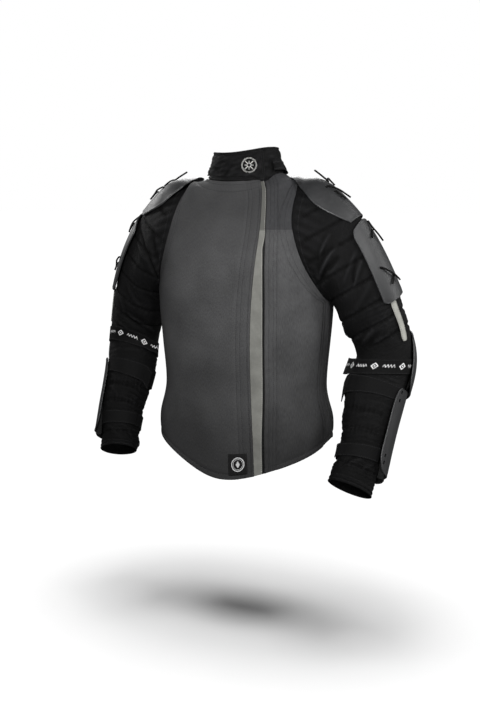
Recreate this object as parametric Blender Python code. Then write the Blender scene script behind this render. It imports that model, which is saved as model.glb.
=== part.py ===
"""Historical fencing jacket: padded body and sleeves, stand collar, laced plastic plates.

Metres, +Z up.  The front faces -Y and the wearer's left is +X.  The origin lies in the
middle of the neck, level with the top of the shoulders, where the wearer carries the jacket.
"""
import math

import bmesh
import bpy
import numpy as np
from mathutils import Vector

# Driving sizes, in metres
SEAM_GAP = 0.0004
BODY_WALL = 0.0045
SLEEVE_WALL = 0.0035
COLLAR_WALL = 0.0060
COLLAR_HEIGHT = 0.064
GUARD_HEIGHT = 0.024
GUARD_WALL = 0.0035
PLATE_WALL = 0.0025
BAND_WALL = 0.0016
STRAP_WALL = 0.0018
STRIP_WALL = 0.0018
STRIP_TUCK = 0.012
TAPE_WALL = 0.0012
TAPE_TUCK = 0.008
SLIT_HALF = 0.001
LEFT_SINK = 0.0022
SINK_WIDTH = 0.045
LABEL_WIDTH = 0.042
LABEL_INSET = 0.013
LABEL_WALL = 0.0012
LABEL_GAP = 0.0010
LACE_RADIUS = 0.0013
LACE_HOLE = 0.0021

# Places on the body's rows: the label's foot and how many rows it covers
LABEL_RISE = 0.12
LABEL_ROWS = 0.50

# Rows of the body from hem to neck, each a ring round the wearer
HEM, HIP, WAIST, RIB, UNDERARM, CHEST, YOKE, SHOULDER, NECK_FOOT, NECK = range(10)
TORSO_COLUMNS = ("z_side", "z_front", "z_back", "half_width", "front", "back", "squareness")
TORSO_ROWS = (
    (-0.565, -0.641, -0.605, 0.199, 0.128, 0.120, 2.4),
    (-0.520, -0.550, -0.535, 0.199, 0.129, 0.121, 2.4),
    (-0.455, -0.460, -0.460, 0.186, 0.122, 0.108, 2.4),
    (-0.360, -0.365, -0.360, 0.193, 0.130, 0.118, 2.4),
    (-0.262, -0.268, -0.265, 0.199, 0.136, 0.130, 2.5),
    (-0.172, -0.190, -0.180, 0.191, 0.136, 0.132, 2.6),
    (-0.080, -0.115, -0.100, 0.168, 0.124, 0.126, 2.6),
    (-0.008, -0.058, -0.045, 0.130, 0.102, 0.110, 2.4),
    (-0.001, -0.022, -0.012, 0.106, 0.089, 0.094, 2.2),
    (0.004, -0.004, 0.006, 0.087, 0.079, 0.084, 2.0),
)

# How soon a row drops from the side towards the front; the left front's hem drops sooner
DROP_POWER = 2.0
LEFT_DROP_POWER = 1.2

# Armhole edges from the underarm (0) to the shoulder (1), in degrees from the front
ARMHOLE_COLUMNS = ("front_deg", "back_deg")
ARMHOLE_ROWS = (
    (90.0, 90.0),
    (83.0, 98.0),
    (76.0, 106.0),
    (69.0, 113.0),
    (63.5, 118.0),
    (60.5, 121.0),
    (60.5, 121.5),
    (66.0, 118.0),
    (76.0, 110.0),
    (84.0, 99.0),
    (90.0, 90.0),
)

# Point in the middle of an armhole, which its edge is drawn in towards
ARMHOLE_MIDDLE = (0.1645, 0.0, -0.13)

# Closure, row by row of the body: distance of each edge from the centre line
CLOSURE_COLUMNS = ("right_edge", "slit", "left_edge")
CLOSURE_ROWS = (
    (0.0750, 0.0930, 0.0970),
    (0.0720, 0.0925, 0.0960),
    (0.0650, 0.0915, 0.0945),
    (0.0660, 0.0940, 0.0970),
    (0.0715, 0.0970, 0.1005),
    (0.0790, 0.0970, 0.1000),
    (0.0850, 0.0920, 0.0970),
    (0.0780, 0.0830, 0.0870),
    (0.0690, 0.0730, 0.0770),
    (0.0610, 0.0640, 0.0680),
)

# Rings of each sleeve from the upper arm to the cuff, both written as a left sleeve
BICEPS, LOW_ARM, ELBOW, TOP_FOREARM, FOREARM, WRIST, CUFF = range(1, 8)
SLEEVE_COLUMNS = ("x", "y", "z", "radius_out", "radius_front", "twist_deg")
LEFT_SLEEVE = (
    (0.281, 0.016, -0.262, 0.070, 0.070, 0.0),
    (0.303, 0.030, -0.325, 0.063, 0.064, 0.0),
    (0.312, 0.032, -0.385, 0.059, 0.060, 0.0),
    (0.300, 0.006, -0.450, 0.060, 0.058, 0.0),
    (0.294, -0.040, -0.535, 0.051, 0.050, 0.0),
    (0.287, -0.070, -0.590, 0.045, 0.043, -10.0),
    (0.279, -0.100, -0.634, 0.048, 0.040, -25.0),
)
RIGHT_SLEEVE = (
    (0.277, 0.016, -0.262, 0.067, 0.068, 0.0),
    (0.300, 0.030, -0.325, 0.061, 0.063, 0.0),
    (0.312, 0.032, -0.382, 0.057, 0.060, 0.0),
    (0.303, 0.006, -0.445, 0.056, 0.056, 0.0),
    (0.297, -0.038, -0.525, 0.048, 0.049, 0.0),
    (0.288, -0.066, -0.578, 0.042, 0.043, -10.0),
    (0.281, -0.088, -0.616, 0.045, 0.040, -20.0),
)
SLEEVE_ROWS = {1: LEFT_SLEEVE, -1: RIGHT_SLEEVE}
HEAD_FULLNESS = 1.10
ELBOW_SEAM = 2.42
HEAD_DROP = 0.30
TUCK_STATION = -0.08
# Mean distance between two rings and mean radius of a sleeve, which turn stations into lengths
RING_SPACING = 0.065
MEAN_RADIUS = 0.058
# Folds of the right sleeve lie this much further down and more level
RIGHT_FOLD_SHIFT = 0.12
RIGHT_FOLD_LEVEL = 12.0

# Largest folds of the sleeves: place, half length, half width, height and slant
FOLD_COLUMNS = ("station", "around_deg", "half_length", "half_width", "height", "slant_deg")
SLEEVE_FOLDS = (
    (0.55, 95.0, 0.060, 0.015, 0.0045, 25.0),
    (0.95, 125.0, 0.055, 0.015, 0.0050, 40.0),
    (1.55, 140.0, 0.050, 0.014, 0.0050, 60.0),
    (2.00, 95.0, 0.045, 0.014, 0.0035, 75.0),
    (0.90, 235.0, 0.055, 0.015, 0.0045, 140.0),
    (1.65, 245.0, 0.050, 0.014, 0.0045, 115.0),
    (4.70, 130.0, 0.045, 0.014, 0.0030, 85.0),
    (6.35, 110.0, 0.040, 0.013, 0.0030, 80.0),
    (6.45, 215.0, 0.040, 0.013, 0.0030, 95.0),
)
# Stations where a band or strap holds the cloth flat
HELD_STATIONS = (2.42, 2.75, 3.10, 3.45, 4.00, 5.60)
HELD_REACH = 0.28

# The collar: one wrap whose right end lies over its left end
COLLAR_OUTER_END = 57.0
COLLAR_INNER_END = 18.0
COLLAR_LEAN = 0.012
COLLAR_TILT = 0.055

# The wrap lies further in up to this many degrees past its inner end, then comes out
WRAP_DEG, WRAP_EASE_DEG = 42.0, 34.0

# The guard band at the collar's foot runs round the back between these angles
GUARD_BAND_START, GUARD_BAND_END = -74.0, -286.0
GUARD_BAND_EASE_DEG = 20.0
GUARD_FLARE = 0.0060
GUARD_CLEARANCE = 0.0006
GUARD_RISE, GUARD_FOOT_RISE = 0.0012, 0.0035

# Shoulder cap: rows from the neck to the arm
CAP_SPAN = {1: (-0.045, 0.475), -1: (-0.045, 0.430)}
CAP_BOW = 0.020
CAP_COLUMNS = ("half_width_deg",)
CAP_ROWS = ((13.0,), (33.0,), (43.0,), (47.5,), (48.5,), (47.5,), (44.5,), (40.0,), (33.0,))
CAP_LIFT = 0.0045
CAP_CROWN = 0.0095
CAP_TIP_RISE = 0.0070
CAP_TIP_REACH = 0.09
CAP_RIM_LIFT = 0.0003
CAP_RIM_START, CAP_RIM_REACH = 0.05, 0.12
CAP_CROWN_PLACE = 0.14
CAP_CROWN_SPREAD = 0.15

# Upper arm plate
ARM_PLATE_SPAN = {1: (0.515, 1.12), -1: (0.475, 1.02)}
ARM_PLATE_HALF_DEG = 50.0
ARM_PLATE_CENTRE = -6.0
ARM_PLATE_LIFT = 0.0045
ARM_PLATE_CORNER = 0.20
ARM_PLATE_CORNER_DEG = 13.0

# How far each arm's plates are turned towards the front
ARM_TURN = {1: 0.0, -1: 8.0}
FORE_TURN = {1: 0.0, -1: 27.0}

# Elbow cop and its pad
COP_STATION, COP_HALF_LENGTH = 3.10, 0.85
COP_CENTRE, COP_HALF_DEG = -50.0, 55.0
COP_EDGE_LIFT = 0.0056
COP_SLOPE = 0.0046
COP_CROWN = 0.0040
COP_WALL = 0.0028
COP_ROUNDING = 0.42
COP_SIDE_FALL = 0.8
PAD_START, PAD_END = 2.72, 3.72
PAD_HALF_DEG = 44.0
PAD_LIFT = 0.0022
PAD_CLEARANCE = 0.0012
PAD_EDGE = 0.0034
PAD_SLOPE = 0.28

# Forearm plate and its pad, rows from the elbow to the wrist
GUARD_START, GUARD_END = 3.80, 6.12
GUARD_COLUMNS = ("front_deg", "back_deg", "lift")
GUARD_ROWS = (
    (23.0, -82.0, 0.0044),
    (28.0, -86.0, 0.0050),
    (29.0, -84.0, 0.0062),
    (30.0, -80.0, 0.0090),
    (28.0, -76.0, 0.0130),
    (14.0, -66.0, 0.0160),
)
FORE_PAD_START, FORE_PAD_END = 4.45, 6.30
FORE_PAD_INSET_DEG = 12.0
FORE_PAD_THIN = 0.0020

# Strips round the sleeve: the elbow band lies in a plane, the hook straps follow the rings
BAND_HALF = 0.0158
BAND_PLANE = {1: (-0.07, 0.15, 0.986), -1: (-0.14, 0.42, 0.89)}
BAND_CENTRE = {1: (0.312, 0.030, -0.402), -1: (0.312, 0.032, -0.389)}
BAND_LIFT = 0.0011

# Where a strip's front half climbs onto its rear half, and where its end leaves the sleeve
LAP_LEAVE, LAP_START = 117.0, 135.0
LAP_GAP = 0.0009
BAND_DROOP, STRAP_DROOP = 0.05, 0.12
BAND_FREE_DEG, BAND_FREE_RADIUS = 137.0, 0.058
STRAP_FREE_DEG, STRAP_FREE_RADIUS = 150.0, 0.052
BAND_FRONT_DEG, BAND_END_DEG, BAND_REAR_DEG = 0.0, 171.0, 252.0
STRAP_FRONT_DEG, STRAP_REAR_DEG = 18.0, 288.0
UPPER_STRAP_END_DEG, LOWER_STRAP_END_DEG = 171.0, 162.0

# Hook straps: station of each edge at the outer side, and how much further down the inner side is
UPPER_STRAP = {1: (3.80, 4.22, 0.05), -1: (3.80, 4.22, 0.25)}
LOWER_STRAP = {1: (5.32, 5.82, 0.22), -1: (5.34, 5.86, 0.05)}
STRIP_STEP = 9.0

# Light strip down the sleeve below the arm plate
TAB_START, TAB_END = 1.00, 2.40
TAB_CENTRE, TAB_HALF_DEG = 23.0, 8.5
TAB_WALL = 0.0016
TAB_TIP, TAB_TIP_NARROWING = 0.12, 0.55

# Laces: routes over and under a plate, by station, degrees round the arm and height over
# (or, below zero, under) the plate.  The first and last points are the free ends.
LACE_COLUMNS = ("station", "around_deg", "height")
UNDER = -1.0
LACE_ROUTES = {
    "cap_lace_rear": (
        (0.070, -9.0, 0.0180),
        (0.112, -7.0, 0.0095),
        (0.158, -5.0, 0.0032),
        (0.176, -7.0, 0.0022),
        (0.180, -12.0, UNDER),
        (0.166, -18.0, UNDER),
        (0.146, -22.0, UNDER),
        (0.136, -24.0, 0.0022),
        (0.144, -17.0, 0.0032),
        (0.164, -9.0, 0.0070),
        (0.192, -2.0, 0.0052),
        (0.235, 0.0, 0.0030),
    ),
    "cap_lace_front": (
        (0.355, 10.0, 0.0035),
        (0.325, 12.0, 0.0030),
        (0.290, 14.0, 0.0030),
        (0.268, 13.0, 0.0022),
        (0.262, 17.0, UNDER),
        (0.235, 20.0, UNDER),
        (0.210, 22.0, UNDER),
        (0.200, 18.0, 0.0022),
        (0.230, 14.0, 0.0030),
        (0.272, 10.0, 0.0060),
        (0.310, 4.0, 0.0060),
        (0.365, -2.0, 0.0075),
    ),
    "plate_lace_top": (
        (0.640, 14.0, 0.0030),
        (0.622, 8.0, 0.0030),
        (0.610, 2.0, 0.0030),
        (0.606, -4.0, 0.0022),
        (0.590, -9.0, UNDER),
        (0.570, -13.0, UNDER),
        (0.548, -14.0, UNDER),
        (0.537, -12.0, 0.0022),
        (0.560, -7.0, 0.0030),
        (0.596, 0.0, 0.0064),
        (0.640, -3.0, 0.0080),
        (0.690, -8.0, 0.0085),
    ),
    "plate_lace_low": (
        (0.930, 16.0, 0.0030),
        (0.915, 11.0, 0.0030),
        (0.900, 6.0, 0.0030),
        (0.896, 1.0, 0.0022),
        (0.880, 3.0, UNDER),
        (0.855, 12.0, UNDER),
        (0.825, 22.0, UNDER),
        (0.808, 26.0, 0.0022),
        (0.828, 20.0, 0.0030),
        (0.875, 9.0, 0.0064),
        (0.905, 2.0, 0.0070),
        (0.935, -3.0, 0.0080),
    ),
}
LACE_DEPTH = {"cap": 0.0032, "plate": 0.0023}
LACE_STEP = 0.0085

# Edges that turn more than this stay sharp
SHARP_DEG = 40.0

# How finely the walls are divided
SHELL_DENSITY = {"below": 8, "beside": 10, "above": 3}
FRONT_RIGHT_COLUMNS = 12
FRONT_LEFT_COLUMNS = 8
BACK_COLUMNS = 13
COLLAR_COLUMNS = 36
GUARD_BAND_COLUMNS = 21
SLEEVE_SEGMENTS = 20
HEAD_RINGS = 9
UPPER_RINGS = 5
LOWER_RINGS = 13

SIDES = ((1, "left_"), (-1, "right_"))

# Slots for the straps: station, degrees round the arm, length along the arm and width
SLOT_COLUMNS = ("station", "around_deg", "length", "width")
FORE_SLOTS = (
    (3.95, 16.0, 0.0052, 0.0034),
    (4.19, 16.0, 0.0052, 0.0034),
    (3.95, -75.0, 0.0052, 0.0034),
    (4.19, -75.0, 0.0052, 0.0034),
    (5.50, 18.0, 0.0052, 0.0034),
    (5.74, 17.0, 0.0052, 0.0034),
    (5.50, -65.0, 0.0052, 0.0034),
    (5.74, -65.0, 0.0052, 0.0034),
)
COP_SLOTS = (
    (2.92, -26.0, 0.0034, 0.0110),
    (3.12, -26.0, 0.0034, 0.0110),
    (2.92, -74.0, 0.0034, 0.0110),
    (3.12, -74.0, 0.0034, 0.0110),
)
SLOT_CORNER = 0.6
CUTTER_SIDES = 8
CUT_MARGIN = 0.0030

# Colours: red, green and blue in linear light, then roughness and metallic
MATERIALS = {
    "plastron_grey": ((0.055, 0.055, 0.056), 0.85, 0.0),
    "strip_grey": ((0.200, 0.200, 0.180), 0.85, 0.0),
    "sleeve_black": ((0.010, 0.010, 0.011), 0.90, 0.0),
    "plastic_dark": ((0.045, 0.046, 0.048), 0.40, 0.0),
    "pad_black": ((0.008, 0.008, 0.008), 0.90, 0.0),
    "strap_black": ((0.014, 0.014, 0.014), 0.75, 0.0),
    "lace_black": ((0.006, 0.006, 0.006), 0.70, 0.0),
}


def column(rows, columns, name, station):
    """Smooth curve through one named column of a table, read at fractional row numbers."""
    values = np.array([row[columns.index(name)] for row in rows])
    station = np.clip(np.asarray(station, dtype=float), 0.0, len(rows) - 1.0)
    index = np.minimum(station.astype(int), len(rows) - 2)
    t = station - index
    ends = (2 * values[0] - values[1], 2 * values[-1] - values[-2])
    padded = np.concatenate((ends[:1], values, ends[1:]))
    p0, p1, p2, p3 = (padded[index + step] for step in range(4))
    bend = (-p0 + p2) * t + (2 * p0 - 5 * p1 + 4 * p2 - p3) * t**2
    return 0.5 * (2 * p1 + bend + (-p0 + 3 * p1 - 3 * p2 + p3) * t**3)


def unit(vectors):
    return vectors / np.linalg.norm(vectors, axis=-1, keepdims=True)


def ease(value):
    """Soft step from 0 to 1."""
    value = np.clip(value, 0.0, 1.0)
    return value * value * (3.0 - 2.0 * value)


def torso_point(angle_deg, level):
    """Point of the body's outer surface; the angle runs from the front to the left side."""
    angle = np.radians(angle_deg)
    sine, cosine = np.sin(angle), np.cos(angle)

    def read(name):
        return column(TORSO_ROWS, TORSO_COLUMNS, name, level)

    in_front = cosine >= 0.0
    depth = np.where(in_front, read("front"), read("back"))
    power = read("squareness")
    side_part = (np.abs(sine) / read("half_width")) ** power
    depth_part = (np.abs(cosine) / depth) ** power
    radius = (side_part + depth_part) ** (-1.0 / power)
    z_end = np.where(in_front, read("z_front"), read("z_back"))
    left_share = np.where(in_front & (sine > 0.0), 1.0 - ease(np.asarray(level) / WAIST), 0.0)
    spread = DROP_POWER + (LEFT_DROP_POWER - DROP_POWER) * left_share
    z = read("z_side") + (z_end - read("z_side")) * np.abs(cosine) ** spread
    return np.stack((radius * sine, -radius * cosine, z), axis=-1)


def torso_normal(angle_deg, level):
    turn, rise = 0.5, 0.02
    low = np.clip(np.asarray(level, dtype=float) - rise, HEM, NECK)
    high = np.clip(np.asarray(level, dtype=float) + rise, HEM, NECK)
    around = torso_point(angle_deg + turn, level) - torso_point(angle_deg - turn, level)
    up = torso_point(angle_deg, high) - torso_point(angle_deg, low)
    return unit(np.cross(around, up))


def torso_offset(angle_deg, level, distance):
    distance = np.asarray(distance, dtype=float)[..., None]
    return torso_point(angle_deg, level) + torso_normal(angle_deg, level) * distance


def angle_at(distance, level):
    """Angle at which the front lies this far from the centre line, towards the left."""
    low = np.zeros_like(np.asarray(level, dtype=float) + distance)
    high = np.full_like(low, 89.0)
    for _ in range(30):
        middle = 0.5 * (low + high)
        short = torso_point(middle, level)[..., 0] < distance
        low = np.where(short, middle, low)
        high = np.where(short, high, middle)
    return 0.5 * (low + high)


def closure_angle(name, level, shift=0.0):
    return angle_at(column(CLOSURE_ROWS, CLOSURE_COLUMNS, name, level) + shift, level)


def armhole_height(level):
    """Share of the way up the armhole: 0 at the underarm, 1 at the shoulder."""
    share = np.clip((np.asarray(level, dtype=float) - UNDERARM) / (SHOULDER - UNDERARM), 0.0, 1.0)
    return np.arccos(1.0 - 2.0 * share) / math.pi


def armhole_level(height):
    """Level at a share of the way up, with the rows closer together at both ends."""
    return UNDERARM + (SHOULDER - UNDERARM) * 0.5 * (1.0 - np.cos(math.pi * np.asarray(height)))


def armhole_angle(name, level):
    return column(ARMHOLE_ROWS, ARMHOLE_COLUMNS, name, 10.0 * armhole_height(level))


def body_levels(below, beside, above):
    """Levels from the hem to the neck, with `beside` intervals along the armhole."""
    low = np.linspace(HEM, UNDERARM, below + 1)[:-1]
    arm = armhole_level(np.linspace(0.0, 1.0, beside + 1))
    high = np.linspace(SHOULDER, NECK, above + 1)[1:]
    return np.concatenate((low, arm, high))


def seam_degrees(level):
    """Half of a seam's gap as an angle on the body."""
    radius = np.linalg.norm(torso_point(np.full_like(level, 90.0), level)[..., :2], axis=-1)
    return np.degrees(0.5 * SEAM_GAP / radius)


def spread_angles(start_deg, end_deg, columns):
    """Evenly spread columns between two edges given level by level."""
    share = np.linspace(0.0, 1.0, columns)
    return start_deg[:, None] + (end_deg - start_deg)[:, None] * share[None, :]


def panel_walls(levels, angles, depth_out, depth_in):
    """Outer and inner points of a body panel at these levels and angles."""
    level = np.broadcast_to(levels[:, None], angles.shape)
    outer = torso_offset(angles, level, np.broadcast_to(depth_out, angles.shape))
    inner = torso_offset(angles, level, np.broadcast_to(depth_in, angles.shape))
    return outer, inner


def front_edge(levels):
    return armhole_angle("front_deg", levels) - seam_degrees(levels)


def back_edge(levels):
    return armhole_angle("back_deg", levels) + seam_degrees(levels)


def front_right(levels, columns):
    """Right front; its last column lies on the facing strip."""
    tuck = closure_angle("right_edge", levels, -STRIP_TUCK)
    angles = spread_angles(-front_edge(levels), tuck, columns - 1)
    angles = np.column_stack((angles, closure_angle("right_edge", levels)))
    return panel_walls(levels, angles, 0.0, -BODY_WALL)


def front_left(levels, columns):
    """Left front, a little lower than the right one beside the closure."""
    edge = closure_angle("left_edge", levels)
    tuck = closure_angle("left_edge", levels, TAPE_TUCK)
    angles = np.column_stack((edge, spread_angles(tuck, front_edge(levels), columns - 1)))
    level = np.broadcast_to(levels[:, None], angles.shape)
    points = torso_point(angles, level)
    away = np.linalg.norm(points - points[:, 1:2], axis=-1)
    away[:, 0] = 0.0
    sink = -LEFT_SINK * (1.0 - ease(away / SINK_WIDTH))
    return panel_walls(levels, angles, sink, sink - BODY_WALL)


def back(levels, columns):
    start = back_edge(levels)
    return panel_walls(levels, spread_angles(start, 360.0 - start, columns), 0.0, -BODY_WALL)


def zip_strip(levels):
    """Facing strip, tucked under the right front and bare up to the slit."""
    tuck = closure_angle("right_edge", levels, -STRIP_TUCK)
    bare = closure_angle("right_edge", levels)
    angles = np.column_stack((tuck, bare, closure_angle("slit", levels, -SLIT_HALF)))
    depth = -BODY_WALL - SEAM_GAP
    return panel_walls(levels, angles, depth, depth - STRIP_WALL)


def zip_tape(levels):
    """Tape under the slit, from the facing strip to the left front."""
    angles = np.column_stack((
        closure_angle("right_edge", levels),
        closure_angle("slit", levels, -SLIT_HALF),
        closure_angle("left_edge", levels),
        closure_angle("left_edge", levels, TAPE_TUCK),
    ))
    depth = -BODY_WALL - max(STRIP_WALL, LEFT_SINK) - 2.0 * SEAM_GAP
    return panel_walls(levels, angles, depth, depth - TAPE_WALL)


def hem_label(rows, columns):
    """Small patch near the closure, just above the hem of the right front."""
    low = HEM + LABEL_RISE
    levels = np.linspace(low, low + LABEL_ROWS, rows)
    end = closure_angle("right_edge", levels, -LABEL_INSET)
    start = closure_angle("right_edge", levels, -LABEL_INSET - LABEL_WIDTH)
    angles = spread_angles(start, end, columns)
    return panel_walls(levels, angles, LABEL_GAP + LABEL_WALL, LABEL_GAP)


def collar_point(angle_deg, height, depth):
    """Point of the collar; height 0 is its foot and 1 its top edge, depth goes inwards."""
    foot = torso_point(angle_deg, np.full_like(angle_deg, float(NECK)))
    outwards = foot * np.array((1.0, 1.0, 0.0))
    outwards = unit(outwards)
    past_end = angle_deg - (COLLAR_INNER_END - 360.0)
    wrapped = 1.0 - ease((past_end - WRAP_DEG) / WRAP_EASE_DEG)
    inwards = depth + wrapped * (COLLAR_WALL + SEAM_GAP) + SEAM_GAP
    lean = COLLAR_LEAN * height
    top = COLLAR_HEIGHT + COLLAR_TILT * foot[..., 0]
    point = foot - outwards * (inwards + lean)[..., None]
    point[..., 2] += SEAM_GAP + top * height
    return point


def collar(columns, rows):
    angles = np.linspace(COLLAR_INNER_END - 360.0, COLLAR_OUTER_END, columns)
    heights = np.linspace(0.0, 1.0, rows)
    angle, height = np.meshgrid(angles, heights)
    zero = np.zeros_like(angle)
    return collar_point(angle, height, zero), collar_point(angle, height, zero + COLLAR_WALL)


def collar_base(columns, rows):
    """Guard band round the foot of the collar, flared at its lower edge."""
    angles = np.linspace(GUARD_BAND_START, GUARD_BAND_END, columns)
    heights = np.linspace(0.0, 1.0, rows)
    angle, height = np.meshgrid(angles, heights)
    share = GUARD_HEIGHT / COLLAR_HEIGHT
    inner = collar_point(angle, 0.02 + share * height, np.zeros_like(angle))
    outwards = unit(inner * np.array((1.0, 1.0, 0.0)))
    from_ends = np.minimum(GUARD_BAND_START - angle, angle - GUARD_BAND_END)
    ends = np.clip(from_ends / GUARD_BAND_EASE_DEG, 0.0, 1.0)
    flare = GUARD_CLEARANCE + GUARD_FLARE * (1.0 - height) ** 1.5 * ease(ends)
    inner = inner + outwards * flare[..., None]
    inner[..., 2] += GUARD_RISE + GUARD_FOOT_RISE * (1.0 - height)
    return inner + outwards * GUARD_WALL, inner


def ring_frame(station, side):
    """Centre, outward, forward and length directions of a ring of a sleeve."""
    row = np.asarray(station, dtype=float) - BICEPS
    rows = SLEEVE_ROWS[side]

    def centre(at):
        return np.stack([column(rows, SLEEVE_COLUMNS, name, at) for name in "xyz"], axis=-1)

    last = len(rows) - 1.0
    ahead = centre(np.clip(row + 0.05, 0.0, last))
    behind = centre(np.clip(row - 0.05, 0.0, last))
    along = unit(ahead - behind)
    sideways = np.array((1.0, 0.0, 0.0))
    out = unit(sideways - along * along[..., :1])
    forward = np.cross(along, out)
    return centre(row), out, forward, along


def ring_point(station, around_deg, side):
    row = np.asarray(station, dtype=float) - BICEPS
    centre, out, forward, _ = ring_frame(station, side)
    around = np.radians(around_deg)

    def read(name):
        return column(SLEEVE_ROWS[side], SLEEVE_COLUMNS, name, row)

    turned = around - np.radians(read("twist_deg"))
    part_out = (np.cos(turned) / read("radius_out")) ** 2
    part_front = (np.sin(turned) / read("radius_front")) ** 2
    radius = ((part_out + part_front) ** -0.5)[..., None]
    return centre + radius * (out * np.cos(around)[..., None] + forward * np.sin(around)[..., None])


def armhole_point(around_deg, depth):
    """Sleeve's edge in the armhole, one seam gap away from the body panels."""
    around = np.mod(np.asarray(around_deg, dtype=float), 360.0)
    in_front = around <= 180.0
    height = np.where(in_front, 1.0 - around / 180.0, around / 180.0 - 1.0)
    level = armhole_level(height)
    angle = np.where(in_front, armhole_angle("front_deg", level), armhole_angle("back_deg", level))
    normal = torso_normal(angle, level)
    point = torso_point(angle, level) - normal * np.asarray(depth, dtype=float)[..., None]
    inwards = np.array(ARMHOLE_MIDDLE) - point
    inwards = inwards - normal * np.sum(inwards * normal, axis=-1, keepdims=True)
    return point + unit(inwards) * SEAM_GAP


def fold_height(station, around_deg, side):
    """Height of the large folds above the plain sleeve."""
    total = np.zeros_like(np.asarray(station, dtype=float) + around_deg)
    for place, around, half_length, half_width, height, slant in SLEEVE_FOLDS:
        if side < 0:
            place, slant = place + RIGHT_FOLD_SHIFT, slant - RIGHT_FOLD_LEVEL
        turn = np.mod(around_deg - around + 180.0, 360.0) - 180.0
        down = (station - place) * RING_SPACING
        across = np.radians(turn) * MEAN_RADIUS
        tilt = math.radians(slant)
        along = down * math.cos(tilt) + across * math.sin(tilt)
        beside = across * math.cos(tilt) - down * math.sin(tilt)
        total = total + height * np.exp(-((along / half_length) ** 2) - (beside / half_width) ** 2)
    for held in HELD_STATIONS:
        total = total * (1.0 - np.exp(-(((station - held) / HELD_REACH) ** 2)))
    return total * ease(station / 0.35) * ease((CUFF - station) / 0.4)


def plain_sleeve(station, around_deg, side):
    """Sleeve without folds: the head from armhole to upper arm, then rings to the cuff."""
    station, around_deg = np.broadcast_arrays(
        np.asarray(station, dtype=float), np.asarray(around_deg, dtype=float))
    low = np.maximum(station, BICEPS)
    rings = ring_point(low, around_deg, side)
    start = armhole_point(around_deg, np.zeros_like(around_deg))
    end = ring_point(np.full_like(around_deg, float(BICEPS)), around_deg, side)
    along = ring_frame(np.full_like(around_deg, float(BICEPS)), side)[3]
    reach = HEAD_FULLNESS * np.linalg.norm(end - start, axis=-1)[..., None]
    drop = -HEAD_DROP * (1.0 - np.cos(np.radians(around_deg)))
    leave = unit(np.stack((np.ones_like(drop), np.zeros_like(drop), drop), axis=-1))
    t = np.clip(station, TUCK_STATION, 1.0)[..., None]
    head = ((2 * t**3 - 3 * t**2 + 1) * start + (t**3 - 2 * t**2 + t) * reach * leave
            + (3 * t**2 - 2 * t**3) * end + (t**3 - t**2) * reach * along)
    return np.where((station < BICEPS)[..., None], head, rings)


def sleeve_normal(station, around_deg, side):
    station, around_deg = np.broadcast_arrays(
        np.asarray(station, dtype=float), np.asarray(around_deg, dtype=float))
    rise, turn = 0.02, 1.0
    low = np.clip(station - rise, TUCK_STATION, CUFF)
    high = np.clip(station + rise, 0.0, CUFF)
    down = plain_sleeve(high, around_deg, side) - plain_sleeve(low, around_deg, side)
    before = plain_sleeve(station, around_deg - turn, side)
    after = plain_sleeve(station, around_deg + turn, side)
    return unit(np.cross(after - before, down))


def sleeve_offset(station, around_deg, distance, side, folds=True):
    """Point of a sleeve's surface moved out by a distance; side is +1 left or -1 right."""
    point = plain_sleeve(station, around_deg, side)
    distance = np.asarray(distance, dtype=float)
    if folds:
        distance = distance + fold_height(station, around_deg, side)
    point = point + sleeve_normal(station, around_deg, side) * distance[..., None]
    return point * np.array((float(side), 1.0, 1.0))


def sleeve_part(stations, segments, side):
    """Closed tube wall of a sleeve between its first and last station."""
    around = np.arange(segments) * 360.0 / segments
    station, angle = np.meshgrid(stations, around, indexing="ij")
    outer = sleeve_offset(station, angle, np.zeros_like(angle), side)
    inner = sleeve_offset(station, angle, np.full_like(angle, -SLEEVE_WALL), side)
    if stations[0] <= 0.0:
        mirror = np.array((float(side), 1.0, 1.0))
        inner[0] = armhole_point(around, np.full(segments, BODY_WALL)) * mirror
    return outer, inner


def sleeve_patch(station, around_deg, low, high, side, folds=False):
    """Outer and inner points of a piece that lies on a sleeve between two heights."""
    outer = sleeve_offset(station, around_deg, np.broadcast_to(high, station.shape), side, folds)
    inner = sleeve_offset(station, around_deg, np.broadcast_to(low, station.shape), side, folds)
    return outer, inner


def rounded_end(distance, radius):
    """How far a rounded corner draws in the edge at this distance from the end."""
    short = np.clip(1.0 - distance / radius, 0.0, 1.0)
    return radius * (1.0 - np.sqrt(1.0 - short**2))


def end_shares(count):
    """Shares from 0 to 1, closer together at both ends."""
    return 0.5 * (1.0 - np.cos(np.linspace(0.0, math.pi, count)))


def cap_half_width(station, side):
    """Half of the cap's width in degrees, at a station."""
    start, end = CAP_SPAN[side]
    share = (station - start) / (end - start)
    return column(CAP_ROWS, CAP_COLUMNS, "half_width_deg", share * (len(CAP_ROWS) - 1.0))


def cap_height(station, around_deg, side):
    """Height of the cap's underside above the sleeve; its rim comes down onto the cloth."""
    bump = np.exp(-(((station - CAP_CROWN_PLACE) / CAP_CROWN_SPREAD) ** 2))
    bump = bump * np.clip(np.cos(np.radians(around_deg) * 1.7), 0.0, 1.0)
    tip = 1.0 - ease((station - CAP_SPAN[side][0]) / CAP_TIP_REACH)
    across = np.clip(around_deg / cap_half_width(station, side), -1.0, 1.0)
    rim = (CAP_LIFT - CAP_RIM_LIFT) * across**4 * ease((station - CAP_RIM_START) / CAP_RIM_REACH)
    return CAP_LIFT + CAP_CROWN * bump + CAP_TIP_RISE * tip - rim


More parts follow.
